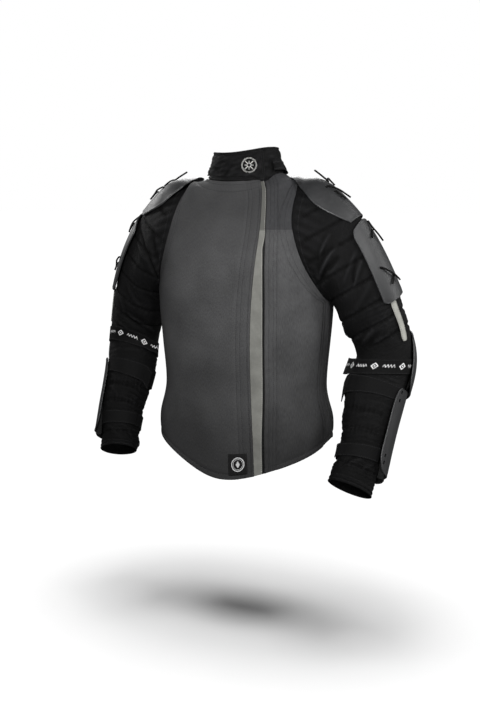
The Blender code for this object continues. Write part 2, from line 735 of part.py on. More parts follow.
def shoulder_cap(side, rows=10, columns=9):
    share = end_shares(rows)[:, None]
    across = np.linspace(-1.0, 1.0, columns)[None, :]
    half = column(CAP_ROWS, CAP_COLUMNS, "half_width_deg", share * (len(CAP_ROWS) - 1.0))
    around = half * across
    bow = CAP_BOW * (1.0 - across**2)
    start, end = CAP_SPAN[side]
    station = start + (end - start) * share + bow * ease(share)
    low = cap_height(station, around, side)
    return sleeve_patch(station, around, low, low + PLATE_WALL, side)


def arm_plate(side, rows=9, columns=8):
    share = end_shares(rows)[:, None]
    across = np.linspace(-1.0, 1.0, columns)[None, :]
    drawn = rounded_end(share, 0.5 * ARM_PLATE_CORNER) + rounded_end(1.0 - share, ARM_PLATE_CORNER)
    half = ARM_PLATE_HALF_DEG - drawn / ARM_PLATE_CORNER * ARM_PLATE_CORNER_DEG
    around = ARM_PLATE_CENTRE + ARM_TURN[side] + half * across
    start, end = ARM_PLATE_SPAN[side]
    station = start + (end - start) * share + 0.0 * around
    return sleeve_patch(station, around, ARM_PLATE_LIFT, ARM_PLATE_LIFT + PLATE_WALL, side)


def cop_height(station, around_deg):
    """Height of the cop's underside above the sleeve."""
    along = (station - COP_STATION) / COP_HALF_LENGTH
    across = (around_deg - COP_CENTRE) / COP_HALF_DEG
    crown = np.clip(1.0 - along**2, 0.0, 1.0) * np.clip(1.0 - COP_SIDE_FALL * across**2, 0.0, 1.0)
    return COP_EDGE_LIFT + COP_SLOPE * np.clip(along, -1.0, 1.0) + COP_CROWN * crown


def elbow_cop(side, rows=9, columns=9):
    down, across = np.meshgrid(np.linspace(-1.0, 1.0, rows), np.linspace(-1.0, 1.0, columns),
                               indexing="ij")
    station = COP_STATION + COP_HALF_LENGTH * down * np.sqrt(1.0 - COP_ROUNDING * across**2)
    around = COP_CENTRE + COP_HALF_DEG * across * np.sqrt(1.0 - COP_ROUNDING * down**2)
    low = cop_height(station, around)
    return sleeve_patch(station, around, low, low + COP_WALL, side)


def elbow_pad(side, rows=7, columns=7):
    share = end_shares(rows)[:, None]
    across = np.linspace(-1.0, 1.0, columns)[None, :]
    around = COP_CENTRE + PAD_HALF_DEG * across + 0.0 * share
    station = PAD_START + (PAD_END - PAD_START) * share + 0.0 * around
    inside = np.minimum(np.minimum(share, 1.0 - share), 1.0 - np.abs(across)) / PAD_SLOPE
    full = cop_height(station, around) - PAD_CLEARANCE
    high = PAD_EDGE + (full - PAD_EDGE) * ease(inside)
    return sleeve_patch(station, around, PAD_LIFT, high, side)


def guard_value(name, station):
    share = (station - GUARD_START) / (GUARD_END - GUARD_START)
    return column(GUARD_ROWS, GUARD_COLUMNS, name, share * (len(GUARD_ROWS) - 1.0))


def forearm_plate(side, rows=9, columns=8):
    share = end_shares(rows)[:, None]
    across = np.linspace(0.0, 1.0, columns)[None, :]
    station = GUARD_START + (GUARD_END - GUARD_START) * share + 0.0 * across
    turn = FORE_TURN[side]
    back_deg, front_deg = guard_value("back_deg", station), guard_value("front_deg", station)
    around = turn + back_deg + (front_deg - back_deg) * across
    low = guard_value("lift", station)
    return sleeve_patch(station, around, low, low + PLATE_WALL, side)


def forearm_pad(side, rows=8, columns=6):
    share = end_shares(rows)[:, None]
    across = np.linspace(0.0, 1.0, columns)[None, :]
    station = FORE_PAD_START + (FORE_PAD_END - FORE_PAD_START) * share + 0.0 * across
    turn = FORE_TURN[side]
    back_deg = guard_value("back_deg", station) + FORE_PAD_INSET_DEG
    front_deg = guard_value("front_deg", station) - FORE_PAD_INSET_DEG
    around = turn + back_deg + (front_deg - back_deg) * across
    high = guard_value("lift", station) - PAD_CLEARANCE
    return sleeve_patch(station, around, PAD_LIFT, np.maximum(high, PAD_LIFT + FORE_PAD_THIN), side)


def plane_station(around_deg, side, distance):
    """Station at which the sleeve crosses a plane parallel to the elbow band's own."""
    normal = unit(np.array(BAND_PLANE[side]))
    centre = np.array(BAND_CENTRE[side])
    around_deg = np.asarray(around_deg, dtype=float)
    low = np.full_like(around_deg, 1.6)
    high = np.full_like(around_deg, 4.6)
    for _ in range(24):
        middle = 0.5 * (low + high)
        above = (plain_sleeve(middle, around_deg, side) - centre) @ normal > distance
        low = np.where(above, middle, low)
        high = np.where(above, high, middle)
    return 0.5 * (low + high)


def free_end(around_deg, leave_deg, radius):
    """Extra height of a strip that goes straight on from where it leaves the sleeve."""
    past = np.radians(np.clip(around_deg - leave_deg, 0.0, 60.0))
    return radius * (1.0 / np.cos(past) - 1.0)


def elbow_band(side, front, rows=3):
    """Half of the elbow band: the front one goes from the cop to a free end at the inner side."""
    first, last = (BAND_FRONT_DEG, BAND_END_DEG) if front else (LAP_START, BAND_REAR_DEG)
    steps = int(round((last - first) / STRIP_STEP))
    angles = np.linspace(first, last, steps + 1)
    offsets = np.linspace(BAND_HALF, -BAND_HALF, rows)
    station = np.stack([plane_station(angles, side, offset) for offset in offsets])
    around = np.broadcast_to(angles, station.shape)
    past, end = 0.0, 0.0
    if front:
        station = station + BAND_DROOP * ease((around - BAND_FREE_DEG) / (last - BAND_FREE_DEG))
        past = ease((around - LAP_LEAVE) / (LAP_START - LAP_LEAVE)) * (BAND_WALL + LAP_GAP)
        end = free_end(around, BAND_FREE_DEG, BAND_FREE_RADIUS)
    low = BAND_LIFT + past + end + 0.0 * around
    return sleeve_patch(station, around, low, low + BAND_WALL, side, folds=True)


def hook_strap(side, upper, front, rows=2):
    """Half of a hook strap: the front one goes from the plate to an end at the inner side."""
    start, end_station, slant = (UPPER_STRAP if upper else LOWER_STRAP)[side]
    turn = FORE_TURN[side]
    first, last = LAP_START, STRAP_REAR_DEG + turn
    if front:
        first, last = STRAP_FRONT_DEG + turn, UPPER_STRAP_END_DEG if upper else LOWER_STRAP_END_DEG
    steps = int(round((last - first) / STRIP_STEP))
    angles = np.linspace(first, last, steps + 1)
    share, around = np.meshgrid(np.linspace(0.0, 1.0, rows), angles, indexing="ij")
    lean = slant * 0.5 * (1.0 - np.cos(np.radians(around)))
    station = start + (end_station - start) * share + lean
    low = BAND_LIFT + 0.0 * around
    if front:
        low = low + ease((around - LAP_LEAVE) / (LAP_START - LAP_LEAVE)) * (STRAP_WALL + LAP_GAP)
    if front and upper:
        low = low + free_end(around, STRAP_FREE_DEG, STRAP_FREE_RADIUS)
        station = station + STRAP_DROOP * ease((around - STRAP_FREE_DEG) / (last - STRAP_FREE_DEG))
    return sleeve_patch(station, around, low, low + STRAP_WALL, side, folds=True)


def sleeve_strip(side, rows=8, columns=3):
    share = end_shares(rows)[:, None]
    across = np.linspace(-1.0, 1.0, columns)[None, :]
    narrowing = rounded_end(1.0 - share, TAB_TIP) / TAB_TIP
    half = TAB_HALF_DEG * (1.0 - TAB_TIP_NARROWING * narrowing)
    around = TAB_CENTRE + half * across
    station = TAB_START + (TAB_END - TAB_START) * share + 0.0 * around
    return sleeve_patch(station, around, BAND_LIFT, BAND_LIFT + TAB_WALL, side, folds=True)


def plate_under(name, station, around_deg, side):
    """Height above the sleeve of the underside of the plate that a lace goes through."""
    if name.startswith("cap"):
        return cap_height(station, around_deg, side)
    return ARM_PLATE_LIFT + 0.0 * station


def lace_route(name, side):
    """Hand-chosen points of a lace in space."""
    station, around, height = np.array(LACE_ROUTES[name]).T
    if not name.startswith("cap"):
        station = station + ARM_PLATE_SPAN[side][0] - ARM_PLATE_SPAN[1][0]
        around = around + ARM_TURN[side]
    under = plate_under(name, station, around, side)
    depth = LACE_DEPTH[name.split("_")[0]]
    lift = np.where(height < 0.0, under - depth, under + PLATE_WALL + height)
    return sleeve_offset(station, around, lift, side, False)


def smooth_route(route, step):
    """Points along a smooth curve through the route's own points, which stay among them."""
    rows = [tuple(point) for point in route]
    places = [0.0]
    for index in range(len(rows) - 1):
        parts = max(1, int(round(np.linalg.norm(route[index + 1] - route[index]) / step)))
        places.extend(index + (part + 1.0) / parts for part in range(parts))
    places = np.array(places)
    return np.stack([column(rows, ("x", "y", "z"), name, places) for name in "xyz"], axis=-1)


def lace_holes(name, side):
    """The two stretches where a lace goes through its plate, as start and end points."""
    route = lace_route(name, side)
    height = np.array(LACE_ROUTES[name])[:, LACE_COLUMNS.index("height")]
    crossings = np.flatnonzero((height[:-1] < 0.0) != (height[1:] < 0.0))
    return [(route[index], route[index + 1]) for index in crossings]


def body_walls():
    """Walls of the body and collar as name, outer grid, inner grid, closed, material."""
    levels = body_levels(**SHELL_DENSITY)
    below_neck = levels[:-1]
    yield "front_right", *front_right(levels, FRONT_RIGHT_COLUMNS), False, "plastron_grey"
    yield "front_left", *front_left(levels, FRONT_LEFT_COLUMNS), False, "plastron_grey"
    yield "back", *back(levels, BACK_COLUMNS), False, "plastron_grey"
    yield "zip_strip", *zip_strip(below_neck), False, "strip_grey"
    yield "zip_tape", *zip_tape(below_neck), False, "pad_black"
    yield "hem_label", *hem_label(4, 3), False, "pad_black"
    yield "collar", *collar(COLLAR_COLUMNS, 3), False, "sleeve_black"
    yield "collar_base", *collar_base(GUARD_BAND_COLUMNS, 3), False, "sleeve_black"


def arm_walls(side, prefix):
    """Walls of one arm's pieces in the same form."""
    seam = 0.5 * SEAM_GAP / RING_SPACING
    head = np.linspace(0.0, BICEPS, HEAD_RINGS)
    upper = np.linspace(BICEPS, ELBOW_SEAM - seam, UPPER_RINGS + 1)[1:]
    head = np.concatenate((head, upper))
    lower = np.linspace(ELBOW_SEAM + seam, CUFF, LOWER_RINGS)
    yield prefix + "sleeve_upper", *sleeve_part(head, SLEEVE_SEGMENTS, side), True, "sleeve_black"
    yield prefix + "sleeve_lower", *sleeve_part(lower, SLEEVE_SEGMENTS, side), True, "sleeve_black"
    yield prefix + "shoulder_cap", *shoulder_cap(side), False, "plastic_dark"
    yield prefix + "arm_plate", *arm_plate(side), False, "plastic_dark"
    yield prefix + "elbow_cop", *elbow_cop(side), False, "plastic_dark"
    yield prefix + "elbow_pad", *elbow_pad(side), False, "pad_black"
    yield prefix + "forearm_plate", *forearm_plate(side), False, "plastic_dark"
    yield prefix + "forearm_pad", *forearm_pad(side), False, "pad_black"
    yield prefix + "sleeve_strip", *sleeve_strip(side), False, "strip_grey"
    for front, end in ((True, "front"), (False, "rear")):
        yield prefix + "elbow_band_" + end, *elbow_band(side, front), False, "strap_black"
        for upper, place in ((True, "upper"), (False, "lower")):
            strap = hook_strap(side, upper, front)
            yield prefix + place + "_strap_" + end, *strap, False, "strap_black"


def all_walls():
    yield from body_walls()
    for side, prefix in SIDES:
        yield from arm_walls(side, prefix)


def wall_mesh(name, outer, inner, closed):
    """Closed solid between two grids of points; a closed grid's last column joins its first."""
    rows, columns = outer.shape[:2]
    mesh = bmesh.new()
    skins = [[[mesh.verts.new(Vector(p)) for p in line] for line in grid] for grid in (outer, inner)]
    last = columns if closed else columns - 1
    for row in range(rows - 1):
        for col in range(last):
            after = (col + 1) % columns
            for skin, flip in ((skins[0], False), (skins[1], True)):
                corners = (skin[row][col], skin[row][after], skin[row + 1][after], skin[row + 1][col])
                mesh.faces.new(corners[::-1] if flip else corners)
    top, bottom = skins
    for col in range(last):
        after = (col + 1) % columns
        mesh.faces.new((top[0][after], top[0][col], bottom[0][col], bottom[0][after]))
        mesh.faces.new((top[-1][col], top[-1][after], bottom[-1][after], bottom[-1][col]))
    if not closed:
        for row in range(rows - 1):
            mesh.faces.new((top[row][0], top[row + 1][0], bottom[row + 1][0], bottom[row][0]))
            mesh.faces.new((top[row + 1][-1], top[row][-1], bottom[row][-1], bottom[row + 1][-1]))
    bmesh.ops.recalc_face_normals(mesh, faces=mesh.faces)
    data = bpy.data.meshes.new(name)
    mesh.to_mesh(data)
    mesh.free()
    data.shade_smooth()
    data.set_sharp_from_angle(angle=math.radians(SHARP_DEG))
    return data


def material(name):
    """Principled material from the table of colours, made once."""
    found = bpy.data.materials.get(name)
    if found:
        return found
    colour, roughness, metallic = MATERIALS[name]
    made = bpy.data.materials.new(name)
    made.use_nodes = True
    shader = made.node_tree.nodes["Principled BSDF"]
    shader.inputs["Base Color"].default_value = (*colour, 1.0)
    shader.inputs["Roughness"].default_value = roughness
    shader.inputs["Metallic"].default_value = metallic
    return made


def add_object(name, data, look):
    data.materials.append(material(look))
    made = bpy.data.objects.new(name, data)
    bpy.context.scene.collection.objects.link(made)
    return made


def lace_object(name, points):
    """Round lace along its points, with closed ends."""
    curve = bpy.data.curves.new(name, "CURVE")
    curve.dimensions = "3D"
    curve.bevel_depth = LACE_RADIUS
    curve.bevel_resolution = 2
    curve.use_fill_caps = True
    spline = curve.splines.new("POLY")
    spline.points.add(len(points) - 1)
    for point, place in zip(spline.points, points):
        point.co = (*place, 1.0)
    return add_object(name, curve, "lace_black")


def cutter(name, corners_low, corners_high):
    """Prism between two rings of corners, kept only to cut with."""
    mesh = bmesh.new()
    low = [mesh.verts.new(Vector(p)) for p in corners_low]
    high = [mesh.verts.new(Vector(p)) for p in corners_high]
    mesh.faces.new(low[::-1])
    mesh.faces.new(high)
    for index, corner in enumerate(low):
        after = (index + 1) % len(low)
        mesh.faces.new((corner, low[after], high[after], high[index]))
    bmesh.ops.recalc_face_normals(mesh, faces=mesh.faces)
    data = bpy.data.meshes.new(name)
    mesh.to_mesh(data)
    mesh.free()
    made = bpy.data.objects.new(name, data)
    bpy.context.scene.collection.objects.link(made)
    made.hide_render = True
    made.display_type = "WIRE"
    return made


def cut(target, tool):
    """Cuts a hole in a plate, exactly."""
    modifier = target.modifiers.new(tool.name, "BOOLEAN")
    modifier.operation = "DIFFERENCE"
    modifier.solver = "EXACT"
    modifier.object = tool


def round_cutter(name, start, end):
    """Round cutter about the stretch of a lace between two points."""
    axis = unit(end - start)
    aside = unit(np.cross(axis, (0.0, 0.0, 1.0)))
    across = np.cross(axis, aside)
    turns = np.arange(CUTTER_SIDES) * 2.0 * math.pi / CUTTER_SIDES
    ring = LACE_HOLE * (aside * np.cos(turns)[:, None] + across * np.sin(turns)[:, None])
    return cutter(name, start - axis * CUT_MARGIN + ring, end + axis * CUT_MARGIN + ring)


def slot_cutter(name, slot, low, high, side, turn):
    """Oblong cutter with pointed ends, square to the sleeve."""
    station, around, length, width = slot
    around = around + turn

    def at(place, lift):
        point = sleeve_offset(np.array([place]), np.array([around]), np.array([lift]), side, False)
        return point[0]

    centre, above = at(station, low), at(station, high)
    axis = unit(above - centre)
    along = at(station + 0.05, low) - centre
    along = unit(along - axis * np.dot(along, axis))
    across = np.cross(axis, along)
    half_long, half_wide = 0.5 * length, 0.5 * width
    corner = SLOT_CORNER * min(half_long, half_wide)
    if length > width:
        tip, side_end = (half_long, 0.0), (half_long - corner, half_wide)
    else:
        tip, side_end = (0.0, half_wide), (half_long, half_wide - corner)
    other_end = (-side_end[0], side_end[1]) if length > width else (side_end[0], -side_end[1])
    outline = [tip, side_end, other_end]
    outline = outline + [(-a, -b) for a, b in outline]
    ring = np.array([along * a + across * b for a, b in outline])
    return cutter(name, centre - axis * CUT_MARGIN + ring, above + axis * CUT_MARGIN + ring)


def cut_plates(side, prefix):
    """Lace holes and strap slots of one arm's plates."""
    for name in LACE_ROUTES:
        plate = "shoulder_cap" if name.startswith("cap") else "arm_plate"
        target = bpy.data.objects[prefix + plate]
        for index, (start, end) in enumerate(lace_holes(name, side)):
            cut(target, round_cutter(f"{prefix}{name}_hole_{index}", start, end))
    for index, slot in enumerate(FORE_SLOTS):
        low = float(guard_value("lift", slot[0]))
        high = low + PLATE_WALL
        tool = slot_cutter(f"{prefix}fore_slot_{index}", slot, low, high, side, FORE_TURN[side])
        cut(bpy.data.objects[prefix + "forearm_plate"], tool)
    for index, slot in enumerate(COP_SLOTS):
        low = float(cop_height(slot[0], slot[1]))
        tool = slot_cutter(f"{prefix}cop_slot_{index}", slot, low, low + COP_WALL, side, 0.0)
        cut(bpy.data.objects[prefix + "elbow_cop"], tool)


def main():
    for old in list(bpy.data.objects):
        bpy.data.objects.remove(old, do_unlink=True)
    for name, outer, inner, closed, look in all_walls():
        add_object(name, wall_mesh(name, outer, inner, closed), look)
    for side, prefix in SIDES:
        for name in LACE_ROUTES:
            lace_object(prefix + name, smooth_route(lace_route(name, side), LACE_STEP))
        cut_plates(side, prefix)


if __name__ == "__main__":
    main()
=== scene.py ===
"""Historical fencing jacket: cloth, plates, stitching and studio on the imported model's frame.

Metres, +Z up.  The front faces -Y and the wearer's left is +X.
"""
import math

import bpy
import numpy as np
from bpy.props import FloatProperty, FloatVectorProperty, PointerProperty
from bpy.types import Operator, Panel, PropertyGroup
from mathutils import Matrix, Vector


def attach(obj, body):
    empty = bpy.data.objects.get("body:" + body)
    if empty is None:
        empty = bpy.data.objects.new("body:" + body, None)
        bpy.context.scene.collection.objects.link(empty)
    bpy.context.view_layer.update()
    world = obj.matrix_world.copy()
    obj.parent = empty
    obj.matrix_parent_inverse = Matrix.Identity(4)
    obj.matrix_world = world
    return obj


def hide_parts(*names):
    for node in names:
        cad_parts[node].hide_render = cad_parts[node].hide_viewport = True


bl_info = {
    "name": "Historical fencing jacket",
    "version": (1, 0, 0),
    "blender": (4, 5, 0),
    "location": "3D view > Sidebar > Jacket",
    "description": "Makes the jacket's cloth, plates, laces and stitching, and a plain studio",
    "category": "Object",
}

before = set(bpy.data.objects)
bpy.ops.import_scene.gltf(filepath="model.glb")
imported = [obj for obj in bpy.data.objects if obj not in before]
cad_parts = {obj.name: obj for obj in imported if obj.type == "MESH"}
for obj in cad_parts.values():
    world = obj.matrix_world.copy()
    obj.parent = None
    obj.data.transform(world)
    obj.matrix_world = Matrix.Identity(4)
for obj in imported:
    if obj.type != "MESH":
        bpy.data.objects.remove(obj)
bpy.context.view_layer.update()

# Driving sizes, in metres
SEAM_GAP = 0.0004
BODY_WALL = 0.0045
SLEEVE_WALL = 0.0035
COLLAR_WALL = 0.0060
COLLAR_HEIGHT = 0.064
GUARD_HEIGHT = 0.024
GUARD_WALL = 0.0035
PLATE_WALL = 0.0025
BAND_WALL = 0.0016
STRAP_WALL = 0.0018
STRIP_WALL = 0.0018
STRIP_TUCK = 0.012
TAPE_WALL = 0.0012
TAPE_TUCK = 0.008
SLIT_HALF = 0.001
LEFT_SINK = 0.0022
SINK_WIDTH = 0.045
LABEL_WIDTH = 0.042
LABEL_INSET = 0.013
LABEL_WALL = 0.0012
LABEL_GAP = 0.0010
LACE_HOLE = 0.0021

# Places on the body's rows: the label's foot and how many rows it covers
LABEL_RISE = 0.12
LABEL_ROWS = 0.50

# Rows of the body from hem to neck, each a ring round the wearer
HEM, WAIST, UNDERARM, CHEST, SHOULDER, NECK = 0, 2, 4, 5, 7, 9
TORSO_COLUMNS = ("z_side", "z_front", "z_back", "half_width", "front", "back", "squareness")
TORSO_ROWS = (
    (-0.565, -0.641, -0.605, 0.199, 0.128, 0.120, 2.4), (-0.520, -0.550, -0.535, 0.199, 0.129, 0.121, 2.4),
    (-0.455, -0.460, -0.460, 0.186, 0.122, 0.108, 2.4), (-0.360, -0.365, -0.360, 0.193, 0.130, 0.118, 2.4),
    (-0.262, -0.268, -0.265, 0.199, 0.136, 0.130, 2.5), (-0.172, -0.190, -0.180, 0.191, 0.136, 0.132, 2.6),
    (-0.080, -0.115, -0.100, 0.168, 0.124, 0.126, 2.6), (-0.008, -0.058, -0.045, 0.130, 0.102, 0.110, 2.4),
    (-0.001, -0.022, -0.012, 0.106, 0.089, 0.094, 2.2), (0.004, -0.004, 0.006, 0.087, 0.079, 0.084, 2.0),
)

# How soon a row drops from the side towards the front; the left front's hem drops sooner
DROP_POWER = 2.0
LEFT_DROP_POWER = 1.2

# Armhole edges from the underarm (0) to the shoulder (1), in degrees from the front
ARMHOLE_COLUMNS = ("front_deg", "back_deg")
ARMHOLE_ROWS = (
    (90.0, 90.0), (83.0, 98.0), (76.0, 106.0), (69.0, 113.0), (63.5, 118.0), (60.5, 121.0), (60.5, 121.5),
    (66.0, 118.0), (76.0, 110.0), (84.0, 99.0), (90.0, 90.0),
)

# Point in the middle of an armhole, which its edge is drawn in towards
ARMHOLE_MIDDLE = (0.1645, 0.0, -0.13)

# Closure, row by row of the body: distance of each edge from the centre line
CLOSURE_COLUMNS = ("right_edge", "slit", "left_edge")
CLOSURE_ROWS = (
    (0.0750, 0.0930, 0.0970), (0.0720, 0.0925, 0.0960), (0.0650, 0.0915, 0.0945), (0.0660, 0.0940, 0.0970),
    (0.0715, 0.0970, 0.1005), (0.0790, 0.0970, 0.1000), (0.0850, 0.0920, 0.0970), (0.0780, 0.0830, 0.0870),
    (0.0690, 0.0730, 0.0770), (0.0610, 0.0640, 0.0680),
)

# Rings of each sleeve from the upper arm to the cuff, both written as a left sleeve
BICEPS, CUFF = 1, 7
SLEEVE_COLUMNS = ("x", "y", "z", "radius_out", "radius_front", "twist_deg")
LEFT_SLEEVE = (
    (0.281, 0.016, -0.262, 0.070, 0.070, 0.0), (0.303, 0.030, -0.325, 0.063, 0.064, 0.0),
    (0.312, 0.032, -0.385, 0.059, 0.060, 0.0), (0.300, 0.006, -0.450, 0.060, 0.058, 0.0),
    (0.294, -0.040, -0.535, 0.051, 0.050, 0.0), (0.287, -0.070, -0.590, 0.045, 0.043, -10.0),
    (0.279, -0.100, -0.634, 0.048, 0.040, -25.0),
)
RIGHT_SLEEVE = (
    (0.277, 0.016, -0.262, 0.067, 0.068, 0.0), (0.300, 0.030, -0.325, 0.061, 0.063, 0.0),
    (0.312, 0.032, -0.382, 0.057, 0.060, 0.0), (0.303, 0.006, -0.445, 0.056, 0.056, 0.0),
    (0.297, -0.038, -0.525, 0.048, 0.049, 0.0), (0.288, -0.066, -0.578, 0.042, 0.043, -10.0),
    (0.281, -0.088, -0.616, 0.045, 0.040, -20.0),
)
SLEEVE_ROWS = {1: LEFT_SLEEVE, -1: RIGHT_SLEEVE}
HEAD_FULLNESS = 1.10
ELBOW_SEAM = 2.42
HEAD_DROP = 0.30
TUCK_STATION = -0.08
# Mean distance between two rings and mean radius of a sleeve, which turn stations into lengths
RING_SPACING = 0.065
MEAN_RADIUS = 0.058
# Folds of the right sleeve lie this much further down and more level
RIGHT_FOLD_SHIFT = 0.12
RIGHT_FOLD_LEVEL = 12.0

# Largest folds of the sleeves: place, half length, half width, height and slant
SLEEVE_FOLDS = (
    (0.55, 95.0, 0.060, 0.015, 0.0045, 25.0), (0.95, 125.0, 0.055, 0.015, 0.0050, 40.0),
    (1.55, 140.0, 0.050, 0.014, 0.0050, 60.0), (2.00, 95.0, 0.045, 0.014, 0.0035, 75.0),
    (0.90, 235.0, 0.055, 0.015, 0.0045, 140.0), (1.65, 245.0, 0.050, 0.014, 0.0045, 115.0),
    (4.70, 130.0, 0.045, 0.014, 0.0030, 85.0), (6.35, 110.0, 0.040, 0.013, 0.0030, 80.0),
    (6.45, 215.0, 0.040, 0.013, 0.0030, 95.0),
)
# Stations where a band or strap holds the cloth flat
HELD_STATIONS = (2.42, 2.75, 3.10, 3.45, 4.00, 5.60)
HELD_REACH = 0.28

# The collar: one wrap whose right end lies over its left end
COLLAR_OUTER_END = 57.0
COLLAR_INNER_END = 18.0
COLLAR_LEAN = 0.012
COLLAR_TILT = 0.055

# The wrap lies further in up to this many degrees past its inner end, then comes out
WRAP_DEG, WRAP_EASE_DEG = 42.0, 34.0

# The guard band at the collar's foot runs round the back between these angles
GUARD_BAND_START, GUARD_BAND_END = -74.0, -286.0
GUARD_BAND_EASE_DEG = 20.0
GUARD_FLARE = 0.0060
GUARD_CLEARANCE = 0.0006
GUARD_RISE, GUARD_FOOT_RISE = 0.0012, 0.0035

# Shoulder cap: rows from the neck to the arm
CAP_SPAN = {1: (-0.045, 0.475), -1: (-0.045, 0.430)}
CAP_BOW = 0.020
CAP_COLUMNS = ("half_width_deg",)
CAP_ROWS = ((13.0,), (33.0,), (43.0,), (47.5,), (48.5,), (47.5,), (44.5,), (40.0,), (33.0,))
CAP_LIFT = 0.0045
CAP_CROWN = 0.0095
CAP_TIP_RISE = 0.0070
CAP_TIP_REACH = 0.09
CAP_RIM_LIFT = 0.0003
CAP_RIM_START, CAP_RIM_REACH = 0.05, 0.12
CAP_CROWN_PLACE = 0.14
CAP_CROWN_SPREAD = 0.15

# Upper arm plate
ARM_PLATE_SPAN = {1: (0.515, 1.12), -1: (0.475, 1.02)}
ARM_PLATE_HALF_DEG = 50.0
ARM_PLATE_CENTRE = -6.0
ARM_PLATE_LIFT = 0.0045
ARM_PLATE_CORNER = 0.20
ARM_PLATE_CORNER_DEG = 13.0

# How far each arm's plates are turned towards the front
ARM_TURN = {1: 0.0, -1: 8.0}
FORE_TURN = {1: 0.0, -1: 27.0}

# Elbow cop and its pad
COP_STATION, COP_HALF_LENGTH = 3.10, 0.85
COP_CENTRE, COP_HALF_DEG = -50.0, 55.0
COP_EDGE_LIFT = 0.0056
COP_SLOPE = 0.0046
COP_CROWN = 0.0040
COP_WALL = 0.0028
COP_ROUNDING = 0.42
COP_SIDE_FALL = 0.8
PAD_START, PAD_END = 2.72, 3.72
PAD_HALF_DEG = 44.0
PAD_LIFT = 0.0022
PAD_CLEARANCE = 0.0012
PAD_EDGE = 0.0034
PAD_SLOPE = 0.28

# Forearm plate and its pad, rows from the elbow to the wrist
GUARD_START, GUARD_END = 3.80, 6.12
GUARD_COLUMNS = ("front_deg", "back_deg", "lift")
GUARD_ROWS = (
    (23.0, -82.0, 0.0044), (28.0, -86.0, 0.0050), (29.0, -84.0, 0.0062), (30.0, -80.0, 0.0090),
    (28.0, -76.0, 0.0130), (14.0, -66.0, 0.0160),
)
FORE_PAD_START, FORE_PAD_END = 4.45, 6.30
FORE_PAD_INSET_DEG = 12.0
FORE_PAD_THIN = 0.0020

# Strips round the sleeve: the elbow band lies in a plane, the hook straps follow the rings
BAND_HALF = 0.0158
BAND_PLANE = {1: (-0.07, 0.15, 0.986), -1: (-0.14, 0.42, 0.89)}
BAND_CENTRE = {1: (0.312, 0.030, -0.402), -1: (0.312, 0.032, -0.389)}
BAND_LIFT = 0.0011

# Where a strip's front half climbs onto its rear half, and where its end leaves the sleeve
LAP_LEAVE, LAP_START = 117.0, 135.0
LAP_GAP = 0.0009
BAND_DROOP, STRAP_DROOP = 0.05, 0.12
BAND_FREE_DEG, BAND_FREE_RADIUS = 137.0, 0.058
STRAP_FREE_DEG, STRAP_FREE_RADIUS = 150.0, 0.052
BAND_FRONT_DEG, BAND_END_DEG, BAND_REAR_DEG = 0.0, 171.0, 252.0
STRAP_FRONT_DEG, STRAP_REAR_DEG = 18.0, 288.0
UPPER_STRAP_END_DEG, LOWER_STRAP_END_DEG = 171.0, 162.0

# Hook straps: station of each edge at the outer side, and how much further down the inner side is
UPPER_STRAP = {1: (3.80, 4.22, 0.05), -1: (3.80, 4.22, 0.25)}
LOWER_STRAP = {1: (5.32, 5.82, 0.22), -1: (5.34, 5.86, 0.05)}

# Light strip down the sleeve below the arm plate
TAB_START, TAB_END = 1.00, 2.40
TAB_CENTRE = 23.0
TAB_WALL = 0.0016
TAB_TIP, TAB_TIP_NARROWING = 0.12, 0.55

# Laces: routes over and under a plate, by station, degrees round the arm and height over
# (or, below zero, under) the plate.  The first and last points are the free ends.
LACE_COLUMNS = ("station", "around_deg", "height")
UNDER = -1.0
LACE_ROUTES = {
    "cap_lace_rear": (
        (0.070, -9.0, 0.0180), (0.112, -7.0, 0.0095), (0.158, -5.0, 0.0032), (0.176, -7.0, 0.0022),
        (0.180, -12.0, UNDER), (0.166, -18.0, UNDER), (0.146, -22.0, UNDER), (0.136, -24.0, 0.0022),
        (0.144, -17.0, 0.0032), (0.164, -9.0, 0.0070), (0.192, -2.0, 0.0052), (0.235, 0.0, 0.0030),
    ),
    "cap_lace_front": (
        (0.355, 10.0, 0.0035), (0.325, 12.0, 0.0030), (0.290, 14.0, 0.0030), (0.268, 13.0, 0.0022),
        (0.262, 17.0, UNDER), (0.235, 20.0, UNDER), (0.210, 22.0, UNDER), (0.200, 18.0, 0.0022),
        (0.230, 14.0, 0.0030), (0.272, 10.0, 0.0060), (0.310, 4.0, 0.0060), (0.365, -2.0, 0.0075),
    ),
    "plate_lace_top": (
        (0.640, 14.0, 0.0030), (0.622, 8.0, 0.0030), (0.610, 2.0, 0.0030), (0.606, -4.0, 0.0022),
        (0.590, -9.0, UNDER), (0.570, -13.0, UNDER), (0.548, -14.0, UNDER), (0.537, -12.0, 0.0022),
        (0.560, -7.0, 0.0030), (0.596, 0.0, 0.0064), (0.640, -3.0, 0.0080), (0.690, -8.0, 0.0085),
    ),
    "plate_lace_low": (
        (0.930, 16.0, 0.0030), (0.915, 11.0, 0.0030), (0.900, 6.0, 0.0030), (0.896, 1.0, 0.0022),
        (0.880, 3.0, UNDER), (0.855, 12.0, UNDER), (0.825, 22.0, UNDER), (0.808, 26.0, 0.0022),
        (0.828, 20.0, 0.0030), (0.875, 9.0, 0.0064), (0.905, 2.0, 0.0070), (0.935, -3.0, 0.0080),
    ),
}
LACE_DEPTH = {"cap": 0.0032, "plate": 0.0023}
LACE_STEP = 0.0085

SIDES = ((1, "left_"), (-1, "right_"))

